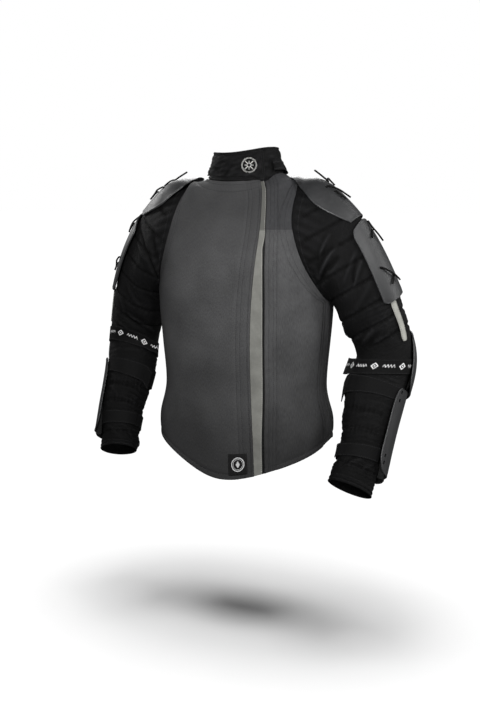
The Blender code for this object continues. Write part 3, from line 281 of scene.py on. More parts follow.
# Slots for the straps: station, degrees round the arm, length along the arm and width
FORE_SLOTS = (
    (3.95, 16.0, 0.0052, 0.0034), (4.19, 16.0, 0.0052, 0.0034), (3.95, -75.0, 0.0052, 0.0034),
    (4.19, -75.0, 0.0052, 0.0034), (5.50, 18.0, 0.0052, 0.0034), (5.74, 17.0, 0.0052, 0.0034),
    (5.50, -65.0, 0.0052, 0.0034), (5.74, -65.0, 0.0052, 0.0034),
)
COP_SLOTS = (
    (2.92, -26.0, 0.0034, 0.0110), (3.12, -26.0, 0.0034, 0.0110), (2.92, -74.0, 0.0034, 0.0110),
    (3.12, -74.0, 0.0034, 0.0110),
)


# Finer sizes of the cloth, plates and light, in metres

# Stitched rows: distances from the closure, armhole, neck and hem, half width and depth
PLASTRON_ROWS = (0.006, 0.022, 0.031)
LEFT_ROWS = (0.0095, 0.019, 0.026)
ARMHOLE_ROWS_IN = (0.016, 0.027)
NECK_ROWS = (0.009, 0.026)
HEM_ROWS = (0.012,)
COLLAR_ROWS, COLLAR_FOOT_ROWS, COLLAR_END_ROWS = (0.006,), (0.007,), (0.006,)
COLLAR_LENGTH = 0.585
CUFF_ROWS = (0.004, 0.012)
ROW_HALF = 0.0012
ROW_DEPTH = 0.0017
# Places of points that round an edge
EDGE_STEPS = (0.0, 0.0005, 0.0014, 0.0030)
EDGE_ROUND = 0.0020
SEAM_ROUND = 0.0009
YOKE_SEAM_Z = -0.108
YOKE_SEAM_SLOPE = 0.02

# The light strip meets the left front above this height
CLOSED_GAP = 0.0007
CLOSED_Z = -0.150
CLOSED_REACH = 0.030

# One stitch from end to end: share of its length, thickness and how deep it dips
STITCH_FORM = ((0.0, 0.35, 0.6), (0.25, 1.0, 0.0), (0.75, 1.0, 0.0), (1.0, 0.35, 0.6))
THREADS = {
    "strip_thread": (0.30, 0.30, 0.28),
    "label_thread": (0.012, 0.012, 0.012),
    "black_thread": (0.02, 0.02, 0.021),
}

# Half the height over which a colour changes, weaves, and how much a cloth shines
COLOUR_EDGE = 0.002
CLOTH_SHINE = 0.12
TWILL_RIB = 0.0019
STRAP_RIB = 0.0026
BAND_MARK_PITCH = 0.062
LABEL_MIDDLE = 0.022

# Soft folds of the body: x, z, half length, half width, height, slant in degrees
RIGHT_FOLDS = (
    (-0.060, -0.110, 0.060, 0.022, 0.0016, 40.0), (-0.020, -0.330, 0.090, 0.026, 0.0012, 12.0),
    (-0.120, -0.470, 0.080, 0.020, 0.0016, -18.0), (0.020, -0.500, 0.110, 0.026, 0.0012, 5.0),
    (-0.150, -0.230, 0.050, 0.016, 0.0018, 62.0), (0.050, -0.210, 0.070, 0.020, 0.0010, -20.0),
)
LEFT_FOLDS = (
    (0.150, -0.270, 0.050, 0.014, 0.0018, 50.0), (0.165, -0.360, 0.060, 0.016, 0.0016, 24.0),
    (0.140, -0.480, 0.080, 0.018, 0.0014, -10.0), (0.120, -0.180, 0.040, 0.014, 0.0010, 75.0),
)
BACK_FOLDS = (
    (-0.090, -0.170, 0.080, 0.022, 0.0037, 35.0), (0.095, -0.180, 0.070, 0.020, 0.0037, -32.0),
    (0.015, -0.410, 0.060, 0.018, 0.0044, 84.0), (-0.070, -0.440, 0.055, 0.016, 0.0034, 70.0),
    (0.085, -0.450, 0.060, 0.016, 0.0034, 104.0), (-0.020, -0.540, 0.080, 0.024, 0.0024, 6.0),
    (0.120, -0.300, 0.060, 0.018, 0.0027, -12.0),
)

# Quilted rows of the upper sleeve: distances down the arm from a point at the shoulder
ARM_TOP = (0.131, 0.0, -0.0225)
ARM_AXIS = (0.500, 0.100, -0.860)
ARM_QUILT_ROWS = (0.0600, 0.1065, 0.1510, 0.1970, 0.2430, 0.2920, 0.3330, 0.3680)

# Quilted rows of the forearm: station, lean, and the degrees between which they show
QUILT_ROWS = (
    (3.48, 0.04, 30.0, 265.0), (4.55, 0.05, 36.0, 262.0), (5.05, -0.05, 36.0, 262.0),
    (6.20, 0.04, 0.0, 360.0),
)
# Sharp creases of the sleeves: station and degrees at both ends, half width, height
SLEEVE_CREASES = {
    1: (
        (0.36, 64.0, 0.30, 92.0, 0.0042, 0.0042), (0.36, 74.0, 0.32, 92.0, 0.0032, -0.0030),
        (0.46, 67.0, 0.31, 110.0, 0.0044, 0.0068), (0.51, 74.0, 0.43, 96.0, 0.0060, -0.0068),
        (0.43, 94.0, 0.23, 128.0, 0.0044, -0.0058), (0.62, 50.0, 0.69, 90.0, 0.0044, 0.0034),
        (0.66, 54.0, 0.76, 76.0, 0.0040, -0.0036), (0.69, 47.0, 0.81, 80.0, 0.0042, 0.0034),
        (0.84, 48.0, 1.02, 104.0, 0.0065, 0.0022), (0.14, 96.0, 0.40, 146.0, 0.0065, 0.0024),
        (0.10, 40.0, 0.28, 24.0, 0.0060, 0.0018), (1.60, 76.0, 2.28, 112.0, 0.0055, 0.0040),
        (1.86, 72.0, 2.32, 98.0, 0.0055, -0.0042), (1.72, 102.0, 2.20, 140.0, 0.0050, 0.0034),
        (2.02, 56.0, 2.25, 84.0, 0.0042, 0.0028), (1.30, 128.0, 2.10, 160.0, 0.0060, 0.0034),
        (0.42, 250.0, 0.60, 205.0, 0.0050, 0.0046), (0.50, 262.0, 0.72, 222.0, 0.0048, -0.0040),
        (0.80, 300.0, 1.20, 250.0, 0.0055, 0.0034), (1.40, 290.0, 2.20, 245.0, 0.0055, 0.0036),
        (1.60, 210.0, 2.20, 170.0, 0.0050, 0.0034), (3.52, 60.0, 3.62, 120.0, 0.0042, 0.0020),
        (4.60, 48.0, 4.72, 104.0, 0.0040, 0.0020), (4.98, 86.0, 5.08, 140.0, 0.0040, 0.0018),
        (5.90, 60.0, 6.30, 96.0, 0.0050, 0.0028), (5.96, 84.0, 6.42, 112.0, 0.0045, -0.0030),
        (6.00, 118.0, 6.45, 160.0, 0.0050, 0.0026), (5.98, 30.0, 6.36, 52.0, 0.0050, 0.0028),
        (5.96, 220.0, 6.40, 262.0, 0.0050, 0.0028),
    ),
    -1: (
        (0.44, 54.0, 0.28, 94.0, 0.0036, -0.0052), (0.28, 94.0, 0.06, 134.0, 0.0036, -0.0050),
        (0.50, 58.0, 0.34, 98.0, 0.0050, 0.0036), (0.22, 74.0, 0.12, 104.0, 0.0060, -0.0040),
        (1.50, 92.0, 1.86, 130.0, 0.0050, 0.0044), (1.86, 130.0, 2.30, 162.0, 0.0048, 0.0040),
        (1.66, 92.0, 2.05, 130.0, 0.0045, -0.0040), (0.84, 78.0, 1.05, 118.0, 0.0055, 0.0028),
        (1.10, 70.0, 1.70, 84.0, 0.0050, 0.0028), (0.62, 126.0, 0.90, 152.0, 0.0055, 0.0030),
        (2.00, 70.0, 2.30, 110.0, 0.0045, 0.0030), (0.45, 246.0, 0.62, 202.0, 0.0050, 0.0044),
        (0.85, 296.0, 1.30, 246.0, 0.0055, 0.0034), (1.50, 286.0, 2.20, 240.0, 0.0055, 0.0036),
        (3.55, 70.0, 3.66, 130.0, 0.0042, 0.0022), (4.56, 52.0, 4.86, 96.0, 0.0042, 0.0024),
        (4.90, 90.0, 5.05, 150.0, 0.0040, 0.0020), (5.92, 66.0, 6.34, 104.0, 0.0050, 0.0028),
        (6.00, 112.0, 6.44, 150.0, 0.0048, -0.0028), (5.98, 150.0, 6.40, 196.0, 0.0050, 0.0028),
        (5.96, 240.0, 6.40, 290.0, 0.0050, 0.0026),
    ),
}
QUILT_DEPTH = 0.0030
QUILT_HALF = 0.0034
# Look of a row: unevenness, rate of the puckers, rates and lean of the ripples, their height and reach
ARM_ROW_LOOK = (0.16, 310.0, (610.0, 97.0), 240.0, 0.0006, 3.2)
FOREARM_ROW_LOOK = (0.25, 420.0, (520.0, 87.0), 0.0, 0.0007, 2.6)
WRINKLE_PITCH = 0.0095
WRINKLE_HEIGHT = 0.0008
SLEEVE_FACETS = 144
# Rows of points at the cuff, by distance in stations, and how long a station is there
CUFF_STEPS = (0.30, 0.25, 0.21, 0.18, 0.155, 0.13, 0.11, 0.085, 0.065, 0.045, 0.030, 0.018, 0.009, 0.0)
CUFF_SPACING = 0.75 * RING_SPACING

# Moulded details of the plates, the shown width of the sleeve strip and the laces
GUARD_CORNER, GUARD_CORNER_DEG = 0.06, 8.0
SLOT_EASE = 0.0024
HOLE_EASE = 0.0006
# Middle and size of the dark oval of painted shade in a dent near each cap's inner tip
CAP_SHADED_RECESS, CAP_SHADED_RECESS_RADIUS = (0.1395, -0.0315, -0.0095), 0.0068
TAB_SHOWN_DEG = 6.8
LACE_SHOWN_RADIUS = 0.0020
PLATE_LIP = 0.0005
PLATE_ROUND = 0.0022
PLATE_SMOOTH_DEG = 40.0
FOREARM_RIDGE = 0.0012
FOREARM_RIDGE_DEG = -26.0

# The neck edge rises at the left side, and the guard band with it
NECK_RISE = 0.0115
NECK_RISE_DEG, NECK_RISE_SPREAD = 84.0, 30.0
NECK_DIP = 0.0090
LEFT_NECK_DEG = 54.0
FOOT_TUCK = 0.0120

# Creases of the collar: place from its front end, height, tilt, half length, half width, height
COLLAR_CREASES = (
    (0.030, 0.030, -38.0, 0.022, 0.0040, -0.0024), (0.024, 0.040, -32.0, 0.020, 0.0036, 0.0022),
    (0.088, 0.020, -48.0, 0.018, 0.0040, -0.0024), (0.098, 0.030, -52.0, 0.018, 0.0050, 0.0018),
    (0.135, 0.034, 12.0, 0.026, 0.0046, 0.0014), (0.150, 0.016, 24.0, 0.020, 0.0040, -0.0018),
    (0.176, 0.030, 66.0, 0.018, 0.0044, 0.0018), (0.260, 0.028, 30.0, 0.024, 0.0044, 0.0018),
    (0.330, 0.022, -34.0, 0.022, 0.0042, -0.0018), (0.395, 0.034, 18.0, 0.024, 0.0046, 0.0018),
    (0.470, 0.026, -60.0, 0.018, 0.0044, -0.0016),
)

# Badge on the collar
BADGE_PLACE = (0.0455, -0.092, 0.030)
BADGE_RADIUS = 0.0165

# Camera and studio
CAMERA_DISTANCE, CAMERA_TURN_DEG, CAMERA_Z = 2.2, 25.0, -0.045
CAMERA_LENS = 48.89
CAMERA_SHIFT = (-0.00833, -0.2222)
FLOOR_Z = -0.956
FLOOR_REACH = 60.0
TOP_POWER, TOP_SPREAD_DEG = 3.5, 42.0
STUDIO_LAMPS = (
    ("key_light", (0.42, -1.8, 0.62), (0.02, 0.0, -0.28), (0.45, 0.45), 5.2, 60.0),
    ("side_light", (2.0, -0.3, 1.0), (0.25, 0.0, -0.3), (0.4, 1.2), 9.0, 120.0),
    ("rim_light", (1.9, 1.05, 0.05), (0.25, 0.0, -0.40), (0.4, 1.0), 4.6, 120.0),
    ("high_light", (1.7, 1.25, 1.35), (0.25, 0.0, -0.15), (0.5, 0.9), 4.0, 120.0),
    ("low_light", (1.35, -1.55, -0.25), (0.17, 0.0, -0.40), (0.30, 0.5), 1.6, 60.0),
    ("left_light", (-1.9, 0.55, 0.75), (-0.2, 0.0, -0.15), (0.5, 0.9), 1.7, 60.0),
    ("back_light", (-1.0, 1.9, 1.3), (0.0, 0.0, -0.2), (1.2, 0.8), 22.0, 120.0),
)


# The jacket's forms

def column(rows, columns, name, station):
    """Smooth curve through one named column of a table, read at fractional row numbers."""
    values = np.array([row[columns.index(name)] for row in rows])
    station = np.clip(np.asarray(station, dtype=float), 0.0, len(rows) - 1.0)
    index = np.minimum(station.astype(int), len(rows) - 2)
    t = station - index
    ends = (2 * values[0] - values[1], 2 * values[-1] - values[-2])
    padded = np.concatenate((ends[:1], values, ends[1:]))
    p0, p1, p2, p3 = (padded[index + step] for step in range(4))
    bend = (-p0 + p2) * t + (2 * p0 - 5 * p1 + 4 * p2 - p3) * t**2
    return 0.5 * (2 * p1 + bend + (-p0 + 3 * p1 - 3 * p2 + p3) * t**3)


def unit(vectors):
    return vectors / np.linalg.norm(vectors, axis=-1, keepdims=True)


def ease(value):
    """Soft step from 0 to 1."""
    value = np.clip(value, 0.0, 1.0)
    return value * value * (3.0 - 2.0 * value)


def soft_fold(across, rise, half_length, half_width, height, slant):
    """Height of one soft fold that lies aslant, from distances across and up from its middle."""
    tilt = math.radians(slant)
    along = rise * math.cos(tilt) + across * math.sin(tilt)
    beside = across * math.cos(tilt) - rise * math.sin(tilt)
    return height * np.exp(-((along / half_length) ** 2) - (beside / half_width) ** 2)


def torso_point(angle_deg, level):
    """Point of the body's outer surface; the angle runs from the front to the left side."""
    angle = np.radians(angle_deg)
    sine, cosine = np.sin(angle), np.cos(angle)

    def read(name):
        return column(TORSO_ROWS, TORSO_COLUMNS, name, level)

    in_front = cosine >= 0.0
    depth = np.where(in_front, read("front"), read("back"))
    power = read("squareness")
    side_part = (np.abs(sine) / read("half_width")) ** power
    depth_part = (np.abs(cosine) / depth) ** power
    radius = (side_part + depth_part) ** (-1.0 / power)
    z_end = np.where(in_front, read("z_front"), read("z_back"))
    left_share = np.where(in_front & (sine > 0.0), 1.0 - ease(np.asarray(level) / WAIST), 0.0)
    spread = DROP_POWER + (LEFT_DROP_POWER - DROP_POWER) * left_share
    z = read("z_side") + (z_end - read("z_side")) * np.abs(cosine) ** spread
    return np.stack((radius * sine, -radius * cosine, z), axis=-1)


def torso_normal(angle_deg, level):
    turn, rise = 0.5, 0.02
    low = np.clip(np.asarray(level, dtype=float) - rise, HEM, NECK)
    high = np.clip(np.asarray(level, dtype=float) + rise, HEM, NECK)
    around = torso_point(angle_deg + turn, level) - torso_point(angle_deg - turn, level)
    up = torso_point(angle_deg, high) - torso_point(angle_deg, low)
    return unit(np.cross(around, up))


def torso_offset(angle_deg, level, distance):
    distance = np.asarray(distance, dtype=float)[..., None]
    return torso_point(angle_deg, level) + torso_normal(angle_deg, level) * distance


def angle_at(distance, level):
    """Angle at which the front lies this far from the centre line, towards the left."""
    low = np.zeros_like(np.asarray(level, dtype=float) + distance)
    high = np.full_like(low, 89.0)
    for _ in range(30):
        middle = 0.5 * (low + high)
        short = torso_point(middle, level)[..., 0] < distance
        low = np.where(short, middle, low)
        high = np.where(short, high, middle)
    return 0.5 * (low + high)


def closure_angle(name, level, shift=0.0):
    return angle_at(column(CLOSURE_ROWS, CLOSURE_COLUMNS, name, level) + shift, level)


def armhole_height(level):
    """Share of the way up the armhole: 0 at the underarm, 1 at the shoulder."""
    share = np.clip((np.asarray(level, dtype=float) - UNDERARM) / (SHOULDER - UNDERARM), 0.0, 1.0)
    return np.arccos(1.0 - 2.0 * share) / math.pi


def armhole_level(height):
    """Level at a share of the way up, with the rows closer together at both ends."""
    return UNDERARM + (SHOULDER - UNDERARM) * 0.5 * (1.0 - np.cos(math.pi * np.asarray(height)))


def armhole_angle(name, level):
    return column(ARMHOLE_ROWS, ARMHOLE_COLUMNS, name, 10.0 * armhole_height(level))


def seam_degrees(level):
    """Half of a seam's gap as an angle on the body."""
    radius = np.linalg.norm(torso_point(np.full_like(level, 90.0), level)[..., :2], axis=-1)
    return np.degrees(0.5 * SEAM_GAP / radius)


def front_edge(levels):
    return armhole_angle("front_deg", levels) - seam_degrees(levels)


def back_edge(levels):
    return armhole_angle("back_deg", levels) + seam_degrees(levels)


def collar_point(angle_deg, height, depth):
    """Point of the collar; height 0 is its foot and 1 its top edge, depth goes inwards."""
    foot = torso_point(angle_deg, np.full_like(angle_deg, float(NECK)))
    outwards = foot * np.array((1.0, 1.0, 0.0))
    outwards = unit(outwards)
    past_end = angle_deg - (COLLAR_INNER_END - 360.0)
    wrapped = 1.0 - ease((past_end - WRAP_DEG) / WRAP_EASE_DEG)
    inwards = depth + wrapped * (COLLAR_WALL + SEAM_GAP) + SEAM_GAP
    lean = COLLAR_LEAN * height
    top = COLLAR_HEIGHT + COLLAR_TILT * foot[..., 0]
    point = foot - outwards * (inwards + lean)[..., None]
    point[..., 2] += SEAM_GAP + top * height
    return point


def ring_frame(station, side):
    """Centre, outward, forward and length directions of a ring of a sleeve."""
    row = np.asarray(station, dtype=float) - BICEPS
    rows = SLEEVE_ROWS[side]

    def centre(at):
        return np.stack([column(rows, SLEEVE_COLUMNS, name, at) for name in "xyz"], axis=-1)

    last = len(rows) - 1.0
    ahead = centre(np.clip(row + 0.05, 0.0, last))
    behind = centre(np.clip(row - 0.05, 0.0, last))
    along = unit(ahead - behind)
    sideways = np.array((1.0, 0.0, 0.0))
    out = unit(sideways - along * along[..., :1])
    forward = np.cross(along, out)
    return centre(row), out, forward, along


def ring_point(station, around_deg, side):
    row = np.asarray(station, dtype=float) - BICEPS
    centre, out, forward, _ = ring_frame(station, side)
    around = np.radians(around_deg)

    def read(name):
        return column(SLEEVE_ROWS[side], SLEEVE_COLUMNS, name, row)

    turned = around - np.radians(read("twist_deg"))
    part_out = (np.cos(turned) / read("radius_out")) ** 2
    part_front = (np.sin(turned) / read("radius_front")) ** 2
    radius = ((part_out + part_front) ** -0.5)[..., None]
    return centre + radius * (out * np.cos(around)[..., None] + forward * np.sin(around)[..., None])


def armhole_point(around_deg, depth):
    """Sleeve's edge in the armhole, one seam gap away from the body panels."""
    around = np.mod(np.asarray(around_deg, dtype=float), 360.0)
    in_front = around <= 180.0
    height = np.where(in_front, 1.0 - around / 180.0, around / 180.0 - 1.0)
    level = armhole_level(height)
    angle = np.where(in_front, armhole_angle("front_deg", level), armhole_angle("back_deg", level))
    normal = torso_normal(angle, level)
    point = torso_point(angle, level) - normal * np.asarray(depth, dtype=float)[..., None]
    inwards = np.array(ARMHOLE_MIDDLE) - point
    inwards = inwards - normal * np.sum(inwards * normal, axis=-1, keepdims=True)
    return point + unit(inwards) * SEAM_GAP


def fold_height(station, around_deg, side):
    """Height of the large folds above the plain sleeve."""
    total = np.zeros_like(np.asarray(station, dtype=float) + around_deg)
    for place, around, half_length, half_width, height, slant in SLEEVE_FOLDS:
        if side < 0:
            place, slant = place + RIGHT_FOLD_SHIFT, slant - RIGHT_FOLD_LEVEL
        turn = np.mod(around_deg - around + 180.0, 360.0) - 180.0
        down = (station - place) * RING_SPACING
        across = np.radians(turn) * MEAN_RADIUS
        total = total + soft_fold(across, down, half_length, half_width, height, slant)
    for held in HELD_STATIONS:
        total = total * (1.0 - np.exp(-(((station - held) / HELD_REACH) ** 2)))
    return total * ease(station / 0.35) * ease((CUFF - station) / 0.4)


def plain_sleeve(station, around_deg, side):
    """Sleeve without folds: the head from armhole to upper arm, then rings to the cuff."""
    station, around_deg = np.broadcast_arrays(
        np.asarray(station, dtype=float), np.asarray(around_deg, dtype=float))
    low = np.maximum(station, BICEPS)
    rings = ring_point(low, around_deg, side)
    start = armhole_point(around_deg, np.zeros_like(around_deg))
    end = ring_point(np.full_like(around_deg, float(BICEPS)), around_deg, side)
    along = ring_frame(np.full_like(around_deg, float(BICEPS)), side)[3]
    reach = HEAD_FULLNESS * np.linalg.norm(end - start, axis=-1)[..., None]
    drop = -HEAD_DROP * (1.0 - np.cos(np.radians(around_deg)))
    leave = unit(np.stack((np.ones_like(drop), np.zeros_like(drop), drop), axis=-1))
    t = np.clip(station, TUCK_STATION, 1.0)[..., None]
    head = ((2 * t**3 - 3 * t**2 + 1) * start + (t**3 - 2 * t**2 + t) * reach * leave
            + (3 * t**2 - 2 * t**3) * end + (t**3 - t**2) * reach * along)
    return np.where((station < BICEPS)[..., None], head, rings)


def sleeve_normal(station, around_deg, side):
    station, around_deg = np.broadcast_arrays(
        np.asarray(station, dtype=float), np.asarray(around_deg, dtype=float))
    rise, turn = 0.02, 1.0
    low = np.clip(station - rise, TUCK_STATION, CUFF)
    high = np.clip(station + rise, 0.0, CUFF)
    down = plain_sleeve(high, around_deg, side) - plain_sleeve(low, around_deg, side)
    before = plain_sleeve(station, around_deg - turn, side)
    after = plain_sleeve(station, around_deg + turn, side)
    return unit(np.cross(after - before, down))


def sleeve_offset(station, around_deg, distance, side, folds=True):
    """Point of a sleeve's surface moved out by a distance; side is +1 left or -1 right."""
    point = plain_sleeve(station, around_deg, side)
    distance = np.asarray(distance, dtype=float)
    if folds:
        distance = distance + fold_height(station, around_deg, side)
    point = point + sleeve_normal(station, around_deg, side) * distance[..., None]
    return point * np.array((float(side), 1.0, 1.0))


def rim(distance, radius):
    """How far a rounded edge drops, or a corner draws in, at this distance from the end."""
    short = np.clip(1.0 - distance / radius, 0.0, 1.0)
    return radius * (1.0 - np.sqrt(1.0 - short**2))


def cap_half_width(station, side):
    """Half of the cap's width in degrees, at a station."""
    start, end = CAP_SPAN[side]
    share = (station - start) / (end - start)
    return column(CAP_ROWS, CAP_COLUMNS, "half_width_deg", share * (len(CAP_ROWS) - 1.0))


def cap_height(station, around_deg, side):
    """Height of the cap's underside above the sleeve; its rim comes down onto the cloth."""
    bump = np.exp(-(((station - CAP_CROWN_PLACE) / CAP_CROWN_SPREAD) ** 2))
    bump = bump * np.clip(np.cos(np.radians(around_deg) * 1.7), 0.0, 1.0)
    tip = 1.0 - ease((station - CAP_SPAN[side][0]) / CAP_TIP_REACH)
    across = np.clip(around_deg / cap_half_width(station, side), -1.0, 1.0)
    rim = (CAP_LIFT - CAP_RIM_LIFT) * across**4 * ease((station - CAP_RIM_START) / CAP_RIM_REACH)
    return CAP_LIFT + CAP_CROWN * bump + CAP_TIP_RISE * tip - rim


def cop_height(station, around_deg):
    """Height of the cop's underside above the sleeve."""
    along = (station - COP_STATION) / COP_HALF_LENGTH
    across = (around_deg - COP_CENTRE) / COP_HALF_DEG
    crown = np.clip(1.0 - along**2, 0.0, 1.0) * np.clip(1.0 - COP_SIDE_FALL * across**2, 0.0, 1.0)
    return COP_EDGE_LIFT + COP_SLOPE * np.clip(along, -1.0, 1.0) + COP_CROWN * crown


def guard_value(name, station):
    share = (station - GUARD_START) / (GUARD_END - GUARD_START)
    return column(GUARD_ROWS, GUARD_COLUMNS, name, share * (len(GUARD_ROWS) - 1.0))


def plane_station(around_deg, side, distance):
    """Station at which the sleeve crosses a plane parallel to the elbow band's own."""
    normal = unit(np.array(BAND_PLANE[side]))
    centre = np.array(BAND_CENTRE[side])
    around_deg, distance = np.broadcast_arrays(np.asarray(around_deg, dtype=float), distance)
    low = np.full_like(around_deg, 1.6)
    high = np.full_like(around_deg, 4.6)
    for _ in range(20):
        middle = 0.5 * (low + high)
        above = (ring_point(middle, around_deg, side) - centre) @ normal > distance
        low = np.where(above, middle, low)
        high = np.where(above, high, middle)
    return 0.5 * (low + high)


def free_end(around_deg, leave_deg, radius):
    """Extra height of a strip that goes straight on from where it leaves the sleeve."""
    past = np.radians(np.clip(around_deg - leave_deg, 0.0, 60.0))
    return radius * (1.0 / np.cos(past) - 1.0)


def plate_under(name, station, around_deg, side):
    """Height above the sleeve of the underside of the plate that a lace goes through."""
    if name.startswith("cap"):
        return cap_height(station, around_deg, side)
    return ARM_PLATE_LIFT + 0.0 * station


def lace_route(name, side):
    """Listed points of a lace in space."""
    station, around, height = np.array(LACE_ROUTES[name]).T
    if not name.startswith("cap"):
        station = station + ARM_PLATE_SPAN[side][0] - ARM_PLATE_SPAN[1][0]
        around = around + ARM_TURN[side]
    under = plate_under(name, station, around, side)
    depth = LACE_DEPTH[name.split("_")[0]]
    lift = np.where(height < 0.0, under - depth, under + PLATE_WALL + height)
    return sleeve_offset(station, around, lift, side, False)


# Meshes

BODY = "root"


def put_in_scene(name, data):
    made = bpy.data.objects.new(name, data)
    bpy.context.scene.collection.objects.link(made)
    return made


def make_object(name, data, finish, smooth_deg=50.0, replaces=()):
    """Puts a mesh or curve in the scene, riding on the jacket."""
    data.materials.append(finish)
    made = put_in_scene(name, data)
    if made.type == "MESH":
        data.shade_smooth()
        data.set_sharp_from_angle(angle=math.radians(smooth_deg))
    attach(made, BODY)
    if replaces:
        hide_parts(*replaces)
    return made


def mesh_from(name, points, faces):
    """Mesh from points and quads."""
    mesh = bpy.data.meshes.new(name)
    faces = np.asarray(faces, dtype=np.int32)
    mesh.vertices.add(len(points))
    mesh.vertices.foreach_set("co", np.asarray(points, dtype=np.float32).ravel())
    mesh.loops.add(faces.size)
    mesh.loops.foreach_set("vertex_index", faces.ravel())
    mesh.polygons.add(len(faces))
    mesh.polygons.foreach_set("loop_start", np.arange(0, faces.size, 4, dtype=np.int32))
    mesh.update(calc_edges=True)
    mesh.validate()
    return mesh


def run_along(points, axis=0):
    """Length along rows of points, counted from the first one."""
    run = np.cumsum(np.linalg.norm(np.diff(points, axis=axis), axis=-1), axis=axis)
    return np.concatenate((np.zeros_like(run.take([0], axis=axis)), run), axis=axis)


def read_at(mark, run, path):
    """Point of a path, or direction, at a length along it."""
    return np.stack([np.interp(mark, run, path[:, axis]) for axis in range(3)], axis=-1)


def grid_lengths(grid):
    """Lengths along the columns' direction and the rows' direction of a grid, from its middle."""
    u = run_along(grid, 1)
    middle = grid.shape[1] // 2
    return u - u[:, middle:middle + 1], run_along(grid)


def wrapped(grid):
    """Grid with its first column once more at its end."""
    return np.concatenate((grid, grid[:, :1]), axis=1)


def wall_faces(index, count, closed):
    """Quads of a wall's outer side, of its inner side, numbered from count on, and of its rims."""
    def rim_faces(start, end):
        return np.stack((start, end, end + count, start + count), axis=-1)

    corners = (index[:-1, :-1], index[:-1, 1:], index[1:, 1:], index[1:, :-1])
    front = np.stack(corners, axis=-1).reshape(-1, 4)
    faces = [front, front[:, ::-1] + count]
    faces += [rim_faces(index[0, 1:], index[0, :-1]), rim_faces(index[-1, :-1], index[-1, 1:])]
    if not closed:
        faces += [rim_faces(index[:-1, 0], index[1:, 0]), rim_faces(index[1:, -1], index[:-1, -1])]
    return np.concatenate(faces)


def shell_mesh(name, outer, inner, closed=False, relief=None):
    """Wall between an outer and an inner grid, with cloth coordinates from the outer one."""
    if closed:
        outer, inner = wrapped(outer), wrapped(inner)
    count = outer[..., 0].size
    index = np.arange(count).reshape(outer.shape[:2])
    cloth = np.stack(grid_lengths(outer), axis=-1).reshape(-1, 2)
    cloth = cloth[wall_faces(index, 0, closed).ravel()]
    if closed:
        index[:, -1] = index[:, 0]
    points = np.concatenate((outer.reshape(-1, 3), inner.reshape(-1, 3)))
    used, faces = np.unique(wall_faces(index, count, closed), return_inverse=True)
    mesh = mesh_from(name, points[used], faces.reshape(-1, 4))
    mesh.uv_layers.new(name="cloth").data.foreach_set("uv", cloth.astype(np.float32).ravel())
    # The height against the cloth round about, kept on the points; the cloth's finish turns it into painted
    # light and shade
    if relief is not None:
        heights = (wrapped(relief) if closed else relief).ravel()
        heights = np.concatenate((heights, heights))[used].astype(np.float32)
        mesh.attributes.new("relief", "FLOAT", "POINT").data.foreach_set("value", heights)
    return turned_out(mesh, outer, inner)


def turned_out(mesh, outer, inner):
    """Turns every face round if the wall's outer side faces in."""
    row, col = outer.shape[0] // 2, outer.shape[1] // 2
    across = outer[row, col + 1] - outer[row, col]
    along = outer[row + 1, col] - outer[row, col]
    if np.dot(np.cross(across, along), outer[row, col] - inner[row, col]) < 0.0:
        mesh.flip_normals()
    return mesh


def make_shell(name, outer, inner, finish, smooth_deg=50.0, closed=False, relief=None):
    """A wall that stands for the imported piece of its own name."""
    mesh = shell_mesh(name, outer, inner, closed, relief)
    return make_object(name, mesh, finish, smooth_deg, (name,))


def stitch_mesh(name, lines, length, gap, radius):
    """Row of short threads along each line of points; a line is (points, normals)."""
    share, size, sink = np.array(STITCH_FORM).T
    turns = np.linspace(0.0, math.pi, 4)
    across = radius * size[:, None] * np.cos(turns)
    rise = radius * (size[:, None] * np.sin(turns) - sink[:, None])
    threads = []
    for path, normals in lines:
        run = run_along(path)
        count = int(run[-1] / (length + gap))
        for start in (np.arange(count) + 0.15) * run[-1] / max(count, 1):
            at = np.minimum(start + share * length, run[-1])
            place, out = read_at(at, run, path), read_at(at, run, normals)
            way = place[-1] - place[0]
            if np.linalg.norm(way) > 1e-6:
                side = np.cross(out, unit(way))
                threads.append(place[:, None] + side[:, None] * across[..., None]
                               + out[:, None] * rise[..., None])
    corner = np.arange(16).reshape(4, 4)
    skin = np.stack((corner[:-1, :-1], corner[:-1, 1:], corner[1:, 1:], corner[1:, :-1]), axis=-1)
    thread_faces = np.concatenate((skin.reshape(-1, 4), corner[:1], corner[3:]))
    faces = thread_faces + corner.size * np.arange(len(threads))[:, None, None]
    return mesh_from(name, np.array(threads).reshape(-1, 3), faces.reshape(-1, 4))


def grid_normals(grid, inner):
    """Unit normals of a grid, pointing away from the inner one."""
    du, dv = np.gradient(grid, axis=1), np.gradient(grid, axis=0)
    normals = unit(np.cross(du, dv) + 1e-12)
    flip = np.sign(np.sum(normals * (grid - inner), axis=-1, keepdims=True))
    return normals * np.where(flip == 0.0, 1.0, flip)


# Shader maths

class Value:
    """A shader socket that takes part in ordinary sums."""

    def __init__(self, finish, socket):
        self.finish, self.socket = finish, socket

    def maths(self, operation, other=0.0):
        return self.finish.node("ShaderNodeMath", {"operation": operation}, {0: self, 1: other})

    def __add__(self, other):
        return self.maths("ADD", other)

    def __sub__(self, other):
        return self.maths("SUBTRACT", other)

    def __rsub__(self, other):
        return self.finish.node("ShaderNodeMath", {"operation": "SUBTRACT"}, {0: other, 1: self})

    def __mul__(self, other):
        return self.maths("MULTIPLY", other)

    def __truediv__(self, other):
        return self.maths("DIVIDE", other)

    def __pow__(self, other):
        return self.maths("POWER", other)

    def __abs__(self):
        return self.maths("ABSOLUTE")

    __radd__ = __add__
    __rmul__ = __mul__


